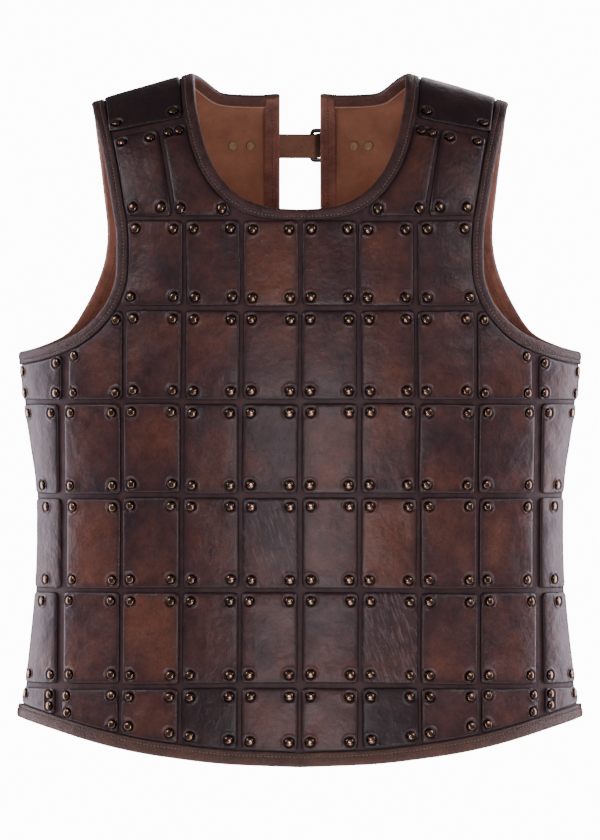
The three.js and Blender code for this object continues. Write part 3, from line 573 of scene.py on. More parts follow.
def brass():
    p = Paint("antique_brass_painted_shade")
    colour = p.mottled(200, 5, 0.7, (0.12, 0.066, 0.044), (0.46, 0.28, 0.19))
    # Painted shade: the dome darkens to near black towards its foot, leaving only its top bright
    colour = p.mix(p.times(p.attribute("edge"), 2.3, True), colour, (0.020, 0.009, 0.007))
    normal = p.bumps((p.noise(350, 3, 0.5), 0.0002, 0.15))
    return p.finish(colour, p.uneven(420, 3, 0.6, 0.12, 0.17), normal, Metallic=1.0)


def cap_brass():
    p = Paint("worn_brass")
    colour = p.mottled(400, 5, 0.7, (0.30, 0.19, 0.09), (0.62, 0.47, 0.27))
    colour = p.mix(p.times(p.attribute("edge"), 0.6, True), colour, (0.16, 0.09, 0.05))
    return p.finish(colour, 0.55, p.bumps((p.noise(600, 4, 0.6), 0.0003, 0.6)), Metallic=0.5)


def steel():
    p = Paint("blackened_steel")
    colour = p.mottled(220, 5, 0.7, (0.05, 0.047, 0.047), (0.20, 0.185, 0.18))
    normal = p.bumps((p.noise(350, 5, 0.6), 0.0003, 0.5))
    return p.finish(colour, p.uneven(300, 4, 0.6, 0.25, 0.25), normal, Metallic=1.0)


def thread():
    p = Paint("waxed_thread")
    colour = p.mottled(900, 3, 0.6, (0.070, 0.043, 0.038), (0.24, 0.155, 0.130))
    return p.finish(colour, 0.45, p.bumps((p.noise(2600, 2, 0.5), 0.0002, 0.6)))


PLATE_LEATHER, BASE_LEATHER, BACK_LEATHER = plate_leather(), base_leather(), back_leather()
FLESH, TRIM_LEATHER, STRAP_LEATHER = flesh_leather(), binding_leather(), strap_leather()
BRASS, STEEL, THREAD, CAP_BRASS = brass(), steel(), thread(), cap_brass()

# Edge lines
NECK_HINT, ARM_HINT, UP_HINT, OUT_HINT = (1, -1), (-1, -1), (0, 1), (1, 0)
neck_line = smooth_curve(FRONT_NECK, 90)
front_arm_line = smooth_curve(FRONT_ARMHOLE, 150)
back_arm_line = smooth_curve(BACK_ARMHOLE, 150)
back_neck_line = smooth_curve(BACK_NECK, 60)
hem_line = smooth_curve(HEM, 110)


def inner_line(side, curve, hint, m):
    return np.stack(inset(edge_frames(side, curve, hint), m), 1)


def half_region(side, neck, arm, hem, m, middle=0.0):
    """The right half of a panel, m in from its edges, as round distance and level"""
    lines = ((neck, NECK_HINT), (arm, ARM_HINT), (hem, UP_HINT))
    neck_in, arm_in, hem_in = (inner_line(side, curve, hint, m) for curve, hint in lines)
    if middle:
        neck_in, hem_in = (line[line[:, 0] > middle] for line in (neck_in, hem_in))
        neck_in, hem_in = (np.vstack([line, [middle, line[-1, 1]]]) for line in (neck_in, hem_in))
    arm_in = arm_in[arm_in[:, 0] < body_size(HALF, arm_in[:, 1]) - 0.3]
    levels = np.linspace(arm_in[-1, 1] - 0.5, hem_in[0, 1] + 0.5, 70)
    seam = np.stack([body_size(HALF, levels) - 0.02, levels], 1)
    loop = np.vstack([neck_in[::-1], arm_in, seam, hem_in])
    return np.stack([round_of(loop[:, 0], loop[:, 1]), loop[:, 1]], 1)


def front_half(m):
    return half_region(FRONT, neck_line, front_arm_line, hem_line, m)


SIDES = (("right", 1), ("left", -1))
# Creases and soft dents of the back halves: round distance, level, half length, half width, angle, rise
CREASES = {
    "right": [(212, -331, 70, 10, -35, -1.5), (238, -372, 52, 9, -22, 1.0), (186, -418, 62, 11, 24, -1.2),
              (112, -262, 88, 15, 82, -1.0), (150, -536, 62, 13, 68, 1.0), (138, -96, 52, 10, -58, -1.3),
              (252, -486, 50, 10, 31, -1.1), (84, -420, 60, 14, 96, 0.8)],
    "left": [(205, -346, 66, 11, -31, -1.4), (231, -301, 48, 9, -40, 0.9), (177, -398, 70, 10, 18, -1.3),
             (125, -236, 80, 14, 96, -0.9), (163, -508, 58, 12, 61, 1.1), (131, -110, 46, 11, -47, -1.1),
             (243, -512, 54, 9, 38, -1.2), (92, -452, 66, 13, 84, 0.8)],
}


def creased(flat, table):
    rise = np.zeros(len(flat))
    for s, level, length, width, angle, depth in table:
        c, sn = math.cos(math.radians(angle)), math.sin(math.radians(angle))
        x, y = flat[:, 0] - s, flat[:, 1] - level
        along, across = x * c + y * sn, -x * sn + y * c + 0.0025 * (x * c + y * sn)**2
        rise += depth * np.exp(-(along / length)**4) * np.exp(-(across / width)**2)
    return rise


# How far each half stays from the plane where front and back meet
SIDE_CLEAR = 0.12


def shell(side, loop, step, creases=()):
    """A wall of leather over a flat loop: outer face, inner face and rim"""
    rim = closed_spaced(loop, step)
    flat, faces = triangulated([rim], grid_in(rim, step, step * 0.55))
    faces = faces[within(flat[faces].mean(1), rim)]
    x = x_of(flat[:, 0], flat[:, 1])
    soft = creased(flat, creases) * np.clip((distance_to(flat, rim) - 12) / 14, 0, 1)
    points = np.vstack([rise_from(side, x, flat[:, 1], soft + rise) for rise in (0.0, -WALL)])
    points[:, 1] = side * np.maximum(side * points[:, 1], SIDE_CLEAR)
    n = len(flat)
    all_faces = [tuple(f) for f in faces] + [tuple(f[::-1] + n) for f in faces]
    all_faces += [(b, a, a + n, b + n) for a, b in rim_of(faces)]
    groups = [0] * len(faces) + [1] * len(faces) + [0] * (len(all_faces) - 2 * len(faces))
    if side == BACK:
        all_faces = [f[::-1] for f in all_faces]
    return points, all_faces, groups


# Base leather
EDGE_HIDE = 2.0
loop = front_half(EDGE_HIDE)
whole = np.vstack([loop, (loop * [-1, 1])[::-1][1:-1]])
points, faces, groups = shell(FRONT, whole, 6.0)
front = make("front_leather", points, faces, [BASE_LEATHER, FLESH], groups=groups)
settle(front, "base_leather", "front_panel")


back_loop = half_region(BACK, back_neck_line, back_arm_line, hem_line, EDGE_HIDE, OPENING_HALF + EDGE_HIDE)
backs = {}
for name, sign in SIDES:
    points, faces, groups = shell(BACK, back_loop, 5.0, CREASES[name])
    if sign < 0:
        points = points * [-1, 1, 1]
        faces = [f[::-1] for f in faces]
    backs[name] = make(f"back_leather_{name}", points, faces, [BACK_LEATHER, FLESH], groups=groups)
    settle(backs[name], "base_leather", f"back_panel_{name}")


# Plates
def waver(at, amount, seed):
    """A small smooth unevenness over flat places"""
    r = np.random.default_rng(seed)
    total = np.zeros(len(at))
    for _ in range(5):
        way, phase = r.normal(size=2) / r.uniform(9, 26), r.uniform(0, 6.3)
        total += np.sin(at @ way + phase)
    return total * amount / 2.2


def plate_loop(row, column, region):
    gaps = row["gaps"]
    top, bottom = row["top"] - ROW_GAP / 2, row["bottom"] + ROW_GAP / 2
    levels = np.linspace(bottom, top, 40)
    lean = np.clip((levels - row["bottom"]) / (row["top"] - row["bottom"]), 0, 1) * row["lean"]
    left = gaps[column] + lean * (column > 0) + (SIDE_GAP if column == 4 else COLUMN_GAP) / 2
    if column + 1 < len(gaps):
        right = gaps[column + 1] + lean - (SIDE_GAP if column == 3 else COLUMN_GAP) / 2
    else:
        right = body_size(HALF, levels) - 0.6
    lower = np.linspace(left[0], right[0], 30)[1:-1]
    upper = np.linspace(right[-1], left[-1], 30)[1:-1]
    x = np.concatenate([right, upper, left[::-1], lower])
    level = np.concatenate([levels, np.full(28, top), levels[::-1], np.full(28, bottom)])
    loop = np.stack([round_of(x, level), level], 1)
    if within(loop, region).all():
        return loop
    return clipped(loop, region)


def nudged(points, seed):
    """The same flat points a touch turned, moved and stretched, as a hand-set plate is"""
    r = np.random.default_rng(seed)
    turn, move, stretch = r.normal() * 0.006, r.normal(size=2) * 0.3, 1 + r.normal(size=2) * 0.004
    c, sn = math.cos(turn), math.sin(turn)

    def moved(flat):
        middle = points.mean(0)
        return (flat - middle) * stretch @ np.array([[c, sn], [-sn, c]]) + middle + move
    return moved


def corner_rivets(loop, counts, inset_by):
    """Where the rivets sit in a plate's corners, or in its middle at an end that has one"""
    inside = grid_in(loop, 1.0, inset_by - 0.4)
    found = []
    if not len(inside):
        return np.zeros((0, 2))
    middle = (inside[:, 0].min() + inside[:, 0].max()) / 2
    for up, count in zip((1, -1), counts):
        if count == 1:
            scores = [up * inside[:, 1] - 0.6 * np.abs(inside[:, 0] - middle)]
        else:
            scores = [inside @ np.array([way, up], float) for way in (1, -1)]
        for score in scores:
            spot = inside[score.argmax()]
            if all(np.linalg.norm(spot - other) > 2.1 * RIVET_RADIUS for other in found):
                found.append(spot)
    return np.array(found)


PLATE_CORNER = 3.1
EDGE_RINGS = (0.45, 1.1, 2.1, 3.4)
# Rings of points round a rivet: radius and how many
RIVET_RINGS = ((3.2, 10), (4.3, 16), (5.0, 18), (5.6, 20), (6.2, 20), (6.9, 20), (8.0, 20))


def plate_shape(loop, rivets, seed, place, low=0.1):
    """A crowned plate with burnished edges, a dimple at each rivet, a painted shadow round each rivet's foot
    and a painted highlight on the dimple's rim above it. place puts flat points at a rise.
    """
    loop = closed_spaced(rounded(loop, PLATE_CORNER), 2.0)
    loop = loop if signed_area(loop) > 0 else loop[::-1]
    inner = []
    for depth in EDGE_RINGS:
        ring = loop + loop_normals(loop) * depth
        ring = ring[within(ring, loop)]
        inner.append(ring[distance_to(ring, loop) > depth * 0.93])
    middle = grid_in(loop, 3.6, 4.6)
    for k, rivet in enumerate(rivets):
        middle = middle[np.linalg.norm(middle - rivet, axis=1) > 9.4]
        for radius, count in RIVET_RINGS:
            ring = circle(rivet, radius, count)
            ring = ring[within(ring, loop)]
            for other in np.delete(rivets, k, axis=0):
                ring = ring[np.linalg.norm(ring - other, axis=1) > 8.7]
            if len(ring):
                inner.append(ring[distance_to(ring, loop) > 3.9])
    flat, faces = triangulated([loop], np.vstack([*inner, middle]))
    faces = faces[within(flat[faces].mean(1), loop)]
    d = distance_to(flat, loop)
    away = flat[None] - rivets[:, None]
    far = np.linalg.norm(away, axis=2)
    near = far.min(0, initial=99.0)
    rise = 1.25 + 1.15 * (1 - np.exp(-d / 0.7)) + 0.4 * (1 - np.exp(-d / 8)) + waver(flat, 0.13, seed)
    rise -= 0.8 * np.exp(-(near / 5.0)**6)
    rise += 0.75 * np.exp(-((near - 6.0) / 0.62)**2)
    # Painted highlight: a light crescent on the crater's rim, strongest on the side above each rivet
    lip = np.exp(-((far - 6.0) / 0.6)**2) * np.clip(0.3 + 0.9 * away[..., 1] / np.maximum(far, 1), 0, 1)
    # The rim goes down to the base leather
    rim = rim_of(faces)
    ids = sorted({i for e in rim for i in e})
    under = {i: len(flat) + k for k, i in enumerate(ids)}
    points = np.vstack([place(flat, rise), place(flat[ids], np.full(len(ids), low))])
    all_faces = [tuple(f) for f in faces] + [(b, a, under[a], under[b]) for a, b in rim]
    none = np.zeros(len(ids))
    # The ring look is a painted shadow round each rivet's foot; the crescent on the rim above each rivet is a
    # painted highlight
    looks = dict(edge=np.concatenate([np.exp(-d / 2.4), none + 1]),
                 ring=np.concatenate([np.exp(-((near - 4.6) / 0.8)**2), none]),
                 lip=np.concatenate([lip.max(0, initial=0.0), none]))
    return points, all_faces, looks


# A rivet head's rings from its foot up, as shares of its radius and of its height
DOME = ((1.0, -0.5), (1.0, 0.1), (0.93, 0.52), (0.74, 0.82), (0.45, 0.96), (0.18, 1.0))


def dome(place, at, seed, seat, count=20):
    """A domed rivet head on a plate, slightly uneven"""
    r = np.random.default_rng(seed)
    radius = RIVET_RADIUS * r.uniform(0.96, 1.04)
    lean = r.normal(size=2) * 0.03
    points, edge = [], []
    for share, high in DOME:
        flat = circle(at, radius * share, count)
        points.append(place(flat, seat + high * RIVET_RISE + (flat - at) @ lean))
        # edge carries painted shade here, rising from 0 at the dome's top to 1 at its foot
        edge += [1.0 - max(high, 0.0)] * count
    top = (len(DOME) - 1) * count
    return np.vstack(points), [*ring_faces(len(DOME), count), tuple(range(top, top + count))], edge


plates, lower_plates, heads = Gather(), Gather(), Gather()
region, hem_region = front_half(TRIM_WIDTH + 1.0), front_half(HEM_WIDTH + 1.0)


def front_place(flat, rise):
    return rise_from(FRONT, x_of(flat[:, 0], flat[:, 1]), flat[:, 1], rise)


seed = 100
for number, row in enumerate(ROWS):
    shift = len(TONES[number]) // 2
    for column in range(row["first"], row["last"] + 1):
        loop = plate_loop(row, column, hem_region if number == 6 else region)
        counts = SIDE_RIVETS[number] if column == 4 else (2, 2)
        narrow = (number, column) in NARROW_PLATES
        spots = corner_rivets(loop, counts, NARROW_INSET if narrow else RIVET_INSET)
        for sign in (1, -1):
            seed += 1
            offset = column - row["first"]
            index = shift + offset if sign > 0 else shift - 1 - offset
            tone, warm, wrinkle = TONES[number][index]
            one, nails = (loop * [sign, 1])[::sign], spots * [sign, 1]
            moved = nudged(one, seed)
            one, nails = moved(one), moved(nails)
            points, faces, looks = plate_shape(one, nails, seed, front_place)
            pile = plates if number < 4 else lower_plates
            pile.add(points, faces, **looks, tone=tone, warm=warm, wrinkle=wrinkle)
            for k, nail in enumerate(nails):
                p, f, e = dome(front_place, nail, seed * 7 + k, 1.9)
                heads.add(p, f, edge=e)

settle(plates.make("chest_plates", [PLATE_LEATHER]), "plate_leather")
settle(lower_plates.make("waist_plates", [PLATE_LEATHER]), "plate_leather")


# Shoulder plates, laid flat as distance across and along, and bent over the ridge
def over_shoulder(sign):
    front_run = SHOULDER_RIDGE[2] - SHOULDER_FRONT[2]
    back_run = SHOULDER_RIDGE[2] - SHOULDER_BACK[2]

    def place(flat, rise):
        v = flat[:, 1]
        on_front = v <= front_run
        t = np.where(on_front, v / front_run, (v - front_run) / back_run)
        start = np.where(on_front[:, None], SHOULDER_FRONT[:2], SHOULDER_RIDGE[:2])
        end = np.where(on_front[:, None], SHOULDER_RIDGE[:2], SHOULDER_BACK[:2])
        sides = start + (end - start) * t[:, None]
        across = flat[:, 0] / SHOULDER_WIDTH
        x = (sides[:, 0] + (sides[:, 1] - sides[:, 0]) * across) * sign
        level = np.where(on_front, SHOULDER_FRONT[2] + v, SHOULDER_RIDGE[2] - (v - front_run))
        a, b = rise_from(FRONT, x, level, rise), rise_from(BACK, x, level, rise)
        return np.where(on_front[:, None], a, b)
    return place, front_run + back_run


for name, sign in SIDES:
    place, run = over_shoulder(sign)
    loop = closed_spaced(np.array([(-0.5, 0), (65.5, 0), (65.5, run), (-0.5, run)], float), 2.0)
    nails = np.array([(6.5, 8.5), (57.5, 9.5), (7, run - 8), (56, run - 8)], float)
    seed += 1
    points, faces, looks = plate_shape(loop, nails, seed, place, 0.2)
    if sign < 0:
        faces = [f[::-1] for f in faces]
    one = Gather()
    one.add(points, faces, **looks, tone=0.2, warm=0.2, wrinkle=0.2)
    settle(one.make(f"shoulder_leather_{name}", [PLATE_LEATHER]), "plate_leather", f"shoulder_plate_{name}")
    for k, nail in enumerate(nails):
        p, f, e = dome(place, nail, seed * 7 + k, 2.0)
        heads.add(p, f if sign > 0 else [q[::-1] for q in f], edge=e)
settle(heads.make("plate_rivets", [BRASS]), "rivet_brass")


# Bindings: a strip folded over the edge, with a stitch line near its inner edge
def folded_path(width):
    out = [(width, 0.45), (width, 1.25), (width - 0.7, 1.72), (width - 2.9, 1.85), (width - 4.0, 1.45),
           (width - 5.1, 1.9), (width * 0.3, 2.05), (1.4, 1.95), (-0.2, 1.5), (-1.2, 0.3), (-1.4, -1.5),
           (-1.2, -3.3), (-0.2, -4.5), (1.6, -4.95), (width * 0.45, -5.0), (width - 2.2, -4.9),
           (width - 0.7, -4.72), (width, -4.25), (width, -3.45)]
    return np.array(out)


def strip(side, curve, hint, width, seed, seam_start=False, seam_end=False):
    frames = edge_frames(side, curve, hint)
    path = folded_path(width)
    r = np.random.default_rng(seed)
    run = run_along(face_point(side, *curve.T))
    flat = np.stack([round_of(curve[:, 0], curve[:, 1]), curve[:, 1]], 1)
    way = np.unwrap(np.arctan2(*np.gradient(flat, axis=0).T[::-1]))
    bend = np.abs(np.gradient(way) / np.maximum(np.gradient(run), 1e-6))
    bend = np.convolve(np.pad(bend, 8, "edge"), np.ones(17) / 17, "valid")
    pucker = np.clip(bend * 40, 0.12, 1.0)
    wave = sum(np.sin(run * k + r.uniform(0, 6.3)) for k in (0.33, 0.55, 0.83, 1.25)) / 2
    rings, edges = [], []
    for m, n in path:
        x, level = inset(frames, np.full(len(curve), m))
        outside = np.clip((n + 1.5) / 3, -1, 1)
        soft = np.clip((m + 1.0) / 4, 0, 1) * np.clip((width - m) / 3, 0.15, 1)
        rise = n + outside * 0.28 * pucker * wave * soft
        rings.append(rise_from(side, x, level, rise))
        edges.append(math.exp(-abs(m - width) / 0.9) + 0.6 * (n > 0) * math.exp(-abs(m - (width - 4)) / 0.6))
    grid = np.stack(rings, 1)
    for at, is_seam in ((0, seam_start), (-1, seam_end)):
        if is_seam:
            step = grid[at] - grid[1 if at == 0 else -2]
            move = (side * 0.15 - grid[at][:, 1]) / np.where(np.abs(step[:, 1]) < 1e-6, 1e-6, step[:, 1])
            grid[at] = grid[at] + step * np.clip(move, -3, 3)[:, None]
    n, m = grid.shape[:2]
    faces = [(i * m + k, (i + 1) * m + k, (i + 1) * m + k + 1, i * m + k + 1)
             for i in range(n - 1) for k in range(m - 1)]
    caps = [tuple(range(m - 1, -1, -1)), tuple((n - 1) * m + k for k in range(m))]
    inside = np.tile((path[:, 1] < -2).astype(float), n)
    cut = np.tile(np.where((path[:, 1] < -3) & (path[:, 0] > width - 0.8), 1.0, 0.0), n)
    return grid.reshape(-1, 3), faces, np.tile(edges, n), inside, cut, caps


# A stitch's rings: how far along, how big and how high
STITCH = ((-1.25, 0.18, -0.25), (-0.7, 0.62, 0.14), (0.7, 0.62, 0.14), (1.25, 0.18, -0.25))


def sew(line, up, gather, r):
    """A row of short stitches along a line of points, each bulging up"""
    run = run_along(line)

    def at(a, values):
        return np.array([np.interp(a, run, values[:, k]) for k in range(3)])
    for a in np.arange(2.0, run[-1] - 2.0, 3.2):
        a = a + r.normal() * 0.12
        centre, high = at(a, line), at(a, up)
        ahead = at(a + 1, line) - centre
        ahead /= max(np.linalg.norm(ahead), 1e-9)
        cross = np.cross(ahead, high)
        ahead = ahead + cross * r.normal() * 0.12
        points = [centre + ahead * step + high * (lift + sn * size * 0.8) + cross * c * size
                  for step, size, lift in STITCH for c, sn in circle((0, 0), 1.0, 6)]
        gather.add(np.array(points), ring_faces(len(STITCH), 6))


def stitch_run(side, curve, hint, width, gather, seed, inner_line_at):
    r = np.random.default_rng(seed)
    frames = edge_frames(side, curve, hint)
    lines = [(width - 4.0, 1.6, 1)]
    if inner_line_at:
        lines.append((inner_line_at, -4.9, -1))
    for m, n, outward in lines:
        x, level = inset(frames, np.full(len(curve), m))
        line = rise_from(side, x, level, np.full(len(curve), n))
        sew(line, face_normal(side, x, level) * outward, gather, r)


def opening_curve():
    levels = np.linspace(OPENING_TOP, OPENING_BOTTOM, 230)
    return np.stack([np.full(len(levels), OPENING_HALF + 0.8), levels], 1)


beside = OPENING_HALF + OPENING_WIDTH - 2.5
short_neck = back_neck_line[back_neck_line[:, 0] > beside]
short_hem = hem_line[hem_line[:, 0] > beside]
stitches = Gather()
# How far a binding's inner face shows its raw reddish side
INSIDE_LOOK = {"neck_binding_back": 0.25}
TRIMS = [
    ("neck_binding_front", FRONT, both_halves(neck_line), NECK_HINT, TRIM_WIDTH, True, True, 0),
    ("hem_binding_front", FRONT, both_halves(hem_line), UP_HINT, HEM_WIDTH, True, True, 0),
    ("armhole_binding_front", FRONT, front_arm_line, ARM_HINT, TRIM_WIDTH, True, True, 1),
    ("armhole_binding_back", BACK, back_arm_line, ARM_HINT, TRIM_WIDTH, True, True, 1),
    ("neck_binding_back", BACK, short_neck, NECK_HINT, TRIM_WIDTH, True, False, 1),
    ("hem_binding_back", BACK, short_hem, UP_HINT, HEM_WIDTH, True, False, 1),
    ("opening_binding", BACK, opening_curve(), OUT_HINT, OPENING_WIDTH, False, False, 1),
]
for name, side, curve, hint, width, start, end, pair in TRIMS:
    for word, sign in ((("_right", 1), ("_left", -1)) if pair else (("", 1),)):
        line = curve * [sign, 1]
        seed += 1
        points, faces, edge, inside, cut, caps = strip(side, line, hint, width, seed, start, end)
        quads = np.array(faces)
        corner = points[quads]
        normal = np.cross(corner[:, 2] - corner[:, 0], corner[:, 3] - corner[:, 1])
        per = len(folded_path(width)) - 1
        outer = np.arange(len(quads)) % per == 6
        x, level = line[:, 0], line[:, 1]
        up = face_normal(side, x, level)[np.minimum(np.arange(len(quads)) // per, len(line) - 1)]
        faces = faces + caps
        if (normal[outer] * up[outer]).sum() < 0:
            faces = [f[::-1] for f in faces]
        one = Gather()
        one.add(points, faces, edge=edge, inside=inside * INSIDE_LOOK.get(name, 1.0),
                cut=cut * (name == "neck_binding_back"), warm=float(name.startswith("hem")))
        settle(one.make(f"{name}_leather{word}", [TRIM_LEATHER]), "binding_leather", f"{name}{word}")
        inner_at = {"neck_binding_back": 0, "opening_binding": 6.0}.get(name, width - 4.0)
        stitch_run(side, line, hint, width, stitches, seed, inner_at)

# Two rows of sewing behind each side seam
for sign in (1, -1):
    for behind in (5, 10):
        level = np.linspace(-252, -548, 120)
        x = x_of(round_of(body_size(HALF, level), level) - behind, level) * sign
        line = rise_from(BACK, x, level, np.zeros(len(level)))
        sew(line, face_normal(BACK, x, level), stitches, np.random.default_rng(40 + behind + sign))
settle(stitches.make("binding_stitches", [THREAD]), "binding_leather")


# Strap work is laid out flat, as x across the back, n out from its face and z up from the strap's middle
def level_at(x, z):
    bow, foot, ridge = arch(x)
    low = (z + bow * BOW_LEVEL) / (1 + bow)
    high = ARCH + SPAN * np.arcsin(np.clip((z - foot) / (ridge - foot), 0, 1)) / (math.pi / 2)
    return np.where(z <= foot, low, high)


def onto_back(points, height):
    x, n, z = np.asarray(points, float).T
    return rise_from(BACK, x, level_at(x, height + z), n)


def even_path(table, step):
    line = curve_through(table, 16, True)
    length = run_along(line)[-1]
    return spaced(line, max(int(length / step), 4) + 1), length


def ribbon(table, width, thick, holes, height, tip=0.0, marks=()):
    """A leather strip along a path of x and n, with soft edges, a rounded far end, holes and pricked marks"""
    path, length = even_path(table, 0.5)
    run = np.linspace(0, length, len(path))
    along = np.gradient(path, axis=0)
    along /= np.linalg.norm(along, axis=1, keepdims=True)
    half = width / 2
    outline = [(0, -half), (length - tip, -half)]
    if tip:
        turn = np.linspace(-math.pi / 2, math.pi / 2, 14)[1:-1]
        outline += [(length - tip + tip * math.cos(t), half * math.sin(t)) for t in turn]
    outline += [(length - tip, half), (0, half)]
    outer = closed_spaced(np.array(outline, float), 1.5)
    loops = [outer, *holes]
    rows = [grid_in(outer, 2.4, 1.2)]
    for loop in loops:
        way = loop_normals(loop) * (1 if loop is outer else -1)
        ring = loop + way * 0.45
        rows.append(ring[within(ring, outer)])
    inner = np.vstack(rows)
    for mark in marks:
        inner = inner[np.hypot(inner[:, 0] - mark, inner[:, 1]) > 3]
        inner = np.vstack([inner, [[mark, 0]], *(circle((mark, 0), r, 10) for r in (0.6, 1.1, 1.9))])
    for hole in holes:
        inner = inner[~within(inner, hole) & (distance_to(inner, hole) > 0.35)]
    flat, faces = triangulated(loops, inner)
    centre = flat[faces].mean(1)
    keep = within(centre, outer)
    for hole in holes:
        keep &= ~within(centre, hole)
    faces = faces[keep]
    d = np.min([distance_to(flat, loop) for loop in loops], axis=0)
    at = np.stack([np.interp(flat[:, 0], run, path[:, k]) for k in (0, 1)], 1)
    way = np.stack([np.interp(flat[:, 0], run, along[:, k]) for k in (0, 1)], 1)
    out = np.stack([-way[:, 1], way[:, 0]], 1)
    body = thick / 2 * (0.62 + 0.38 * (1 - np.exp(-d / 0.3)))
    tops = [np.column_stack([at + out * (body * sign)[:, None], flat[:, 1]]) for sign in (1, -1)]
    n = len(flat)
    all_faces = [tuple(f[::-1]) for f in faces] + [tuple(f + n) for f in faces]
    all_faces += [(a, b, b + n, a + n) for a, b in rim_of(faces)]
    edge = np.exp(-d / 0.5)
    for mark in marks:
        edge = np.maximum(edge, np.exp(-(np.hypot(flat[:, 0] - mark, flat[:, 1]) / 0.8)**4))
    points = np.vstack([onto_back(top, height) for top in tops])
    return points, all_faces, np.tile(edge, 2), np.repeat([0.0, 1.0], n)


def slot_of(x0, x1, width):
    r = width / 2
    turn = np.linspace(-math.pi / 2, math.pi / 2, 7)
    right = np.stack([x1 - r + r * np.cos(turn), r * np.sin(turn)], 1)
    return np.vstack([right, [x0 + x1, 0] - right])


def run_at(table, x):
    path, length = even_path(table, 0.5)
    run = np.linspace(0, length, len(path))
    return float(run[np.argmin(np.abs(path[:, 0] - x))])


def tube(line, sizes, height, closed, count=12, squash=1.0):
    """A round bar along a line of x, n and z"""
    line = np.asarray(line, float)
    along = (np.roll(line, -1, axis=0) - np.roll(line, 1, axis=0)) if closed else np.gradient(line, axis=0)
    along /= np.linalg.norm(along, axis=1, keepdims=True)
    side = np.cross(along, [0, 1.0, 0])
    side[np.linalg.norm(side, axis=1) < 0.2] = [0, 0, 1.0]
    side /= np.linalg.norm(side, axis=1, keepdims=True)
    high = np.cross(side, along)
    sizes = np.broadcast_to(np.asarray(sizes, float), len(line))
    rings = [line + sizes[:, None] * (c * side + squash * s * high) for c, s in circle((0, 0), 1.0, count)]
    n = len(line)
    faces = ring_faces(n, count, closed)
    if not closed:
        faces += [tuple(range(count - 1, -1, -1)), tuple((n - 1) * count + k for k in range(count))]
    return onto_back(np.stack(rings, 1).reshape(-1, 3), height), faces


def rounded_frame(a0, a1, b0, b1, radius, each=7):
    corners = ((a1 - radius, b1 - radius, 0), (a0 + radius, b1 - radius, 1), (a0 + radius, b0 + radius, 2),
               (a1 - radius, b0 + radius, 3))
    points = []
    for a, b, quarter in corners:
        for t in np.linspace(quarter, quarter + 1, each) * math.pi / 2:
            points.append((a + radius * math.cos(t), b + radius * math.sin(t)))
    return closed_spaced(np.array(points), 1.2)


STRAP_PATH = [(-76, 1.8), (-57, 1.8), (-39, 1.8), (-36, 3.35), (-18, 3.35), (0, 3.35), (13.4, 3.35), (24, 10),
              (34, 10), (46, 9.5), (58, 9.1), (70, 8.7), (84, 6.4)]
TAB_PATH = [(72, 1.6), (46.5, 1.6), (43.5, 3.15), (35, 3.15), (28.2, 3.15), (26.3, 4.0), (26.0, 5.6),
            (26.3, 7.2), (28.2, 7.9), (31, 7.9), (37, 6.6), (42.5, 5.05), (46, 3.6), (59, 3.6), (72, 3.6)]


# A keeper's cross-section: along the strap, and out
KEEPER = [(-3, -0.35), (-2.6, -0.6), (2.6, -0.6), (3, -0.35), (3, 0.35), (2.6, 0.6), (-2.6, 0.6), (-3, 0.35)]


def keeper_band(height):
    centre = rounded_frame(-12.1, 12.1, 1.25, 12.4, 1.6)
    out = -loop_normals(centre)
    points = [(39 + a, c[1] + o[1] * b, c[0] + o[0] * b) for c, o in zip(centre, out) for a, b in KEEPER]
    edge = np.tile([0.8 if abs(a) > 2.9 else 0.0 for a, _ in KEEPER], len(centre))
    return onto_back(points, height), ring_faces(len(centre), len(KEEPER), True), edge


def outward(points, faces):
    """The same faces, turned to enclose a positive volume"""
    p = np.asarray(points)
    fans = np.array([(f[0], f[k], f[k + 1]) for f in faces for k in range(1, len(f) - 1)])
    volume = (p[fans[:, 0]] * np.cross(p[fans[:, 1]], p[fans[:, 2]])).sum()
    return faces if volume > 0 else [f[::-1] for f in faces]


def one_piece(name, points, faces, material, slot_name, node, edge=0.0, inside=0.0):
    gather = Gather()
    gather.add(points, outward(points, faces), edge=edge, inside=inside)
    return settle(gather.make(name, [material]), slot_name, node)


def back_nail(x, seat, height):
    """A rivet head on the strap work"""
    def place(flat, rise):
        return onto_back(np.column_stack([flat[:, 0], rise, flat[:, 1]]), height)
    return dome(place, np.array([x, 0.0]), int(abs(x) * 10 + abs(height)), seat)


# A rivet's back on the inside, as rings of radius and rise
CAP = ((0.2, -4.15), (2.2, -4.1), (3.4, -4.0), (4.3, -3.75), (4.6, -3.3), (4.6, -2.9))


def inner_cap(x, height, count=18):
    points, edge = [], []
    for radius, n in CAP:
        spot = circle((x, 0), radius, count)
        points.append(np.column_stack([spot[:, 0], np.full(count, n), spot[:, 1]]))
        edge += [1.0 if radius > 4.2 else 0.0] * count
    faces = [*ring_faces(len(CAP), count), tuple(range(count))[::-1]]
    return onto_back(np.vstack(points), height), faces, edge


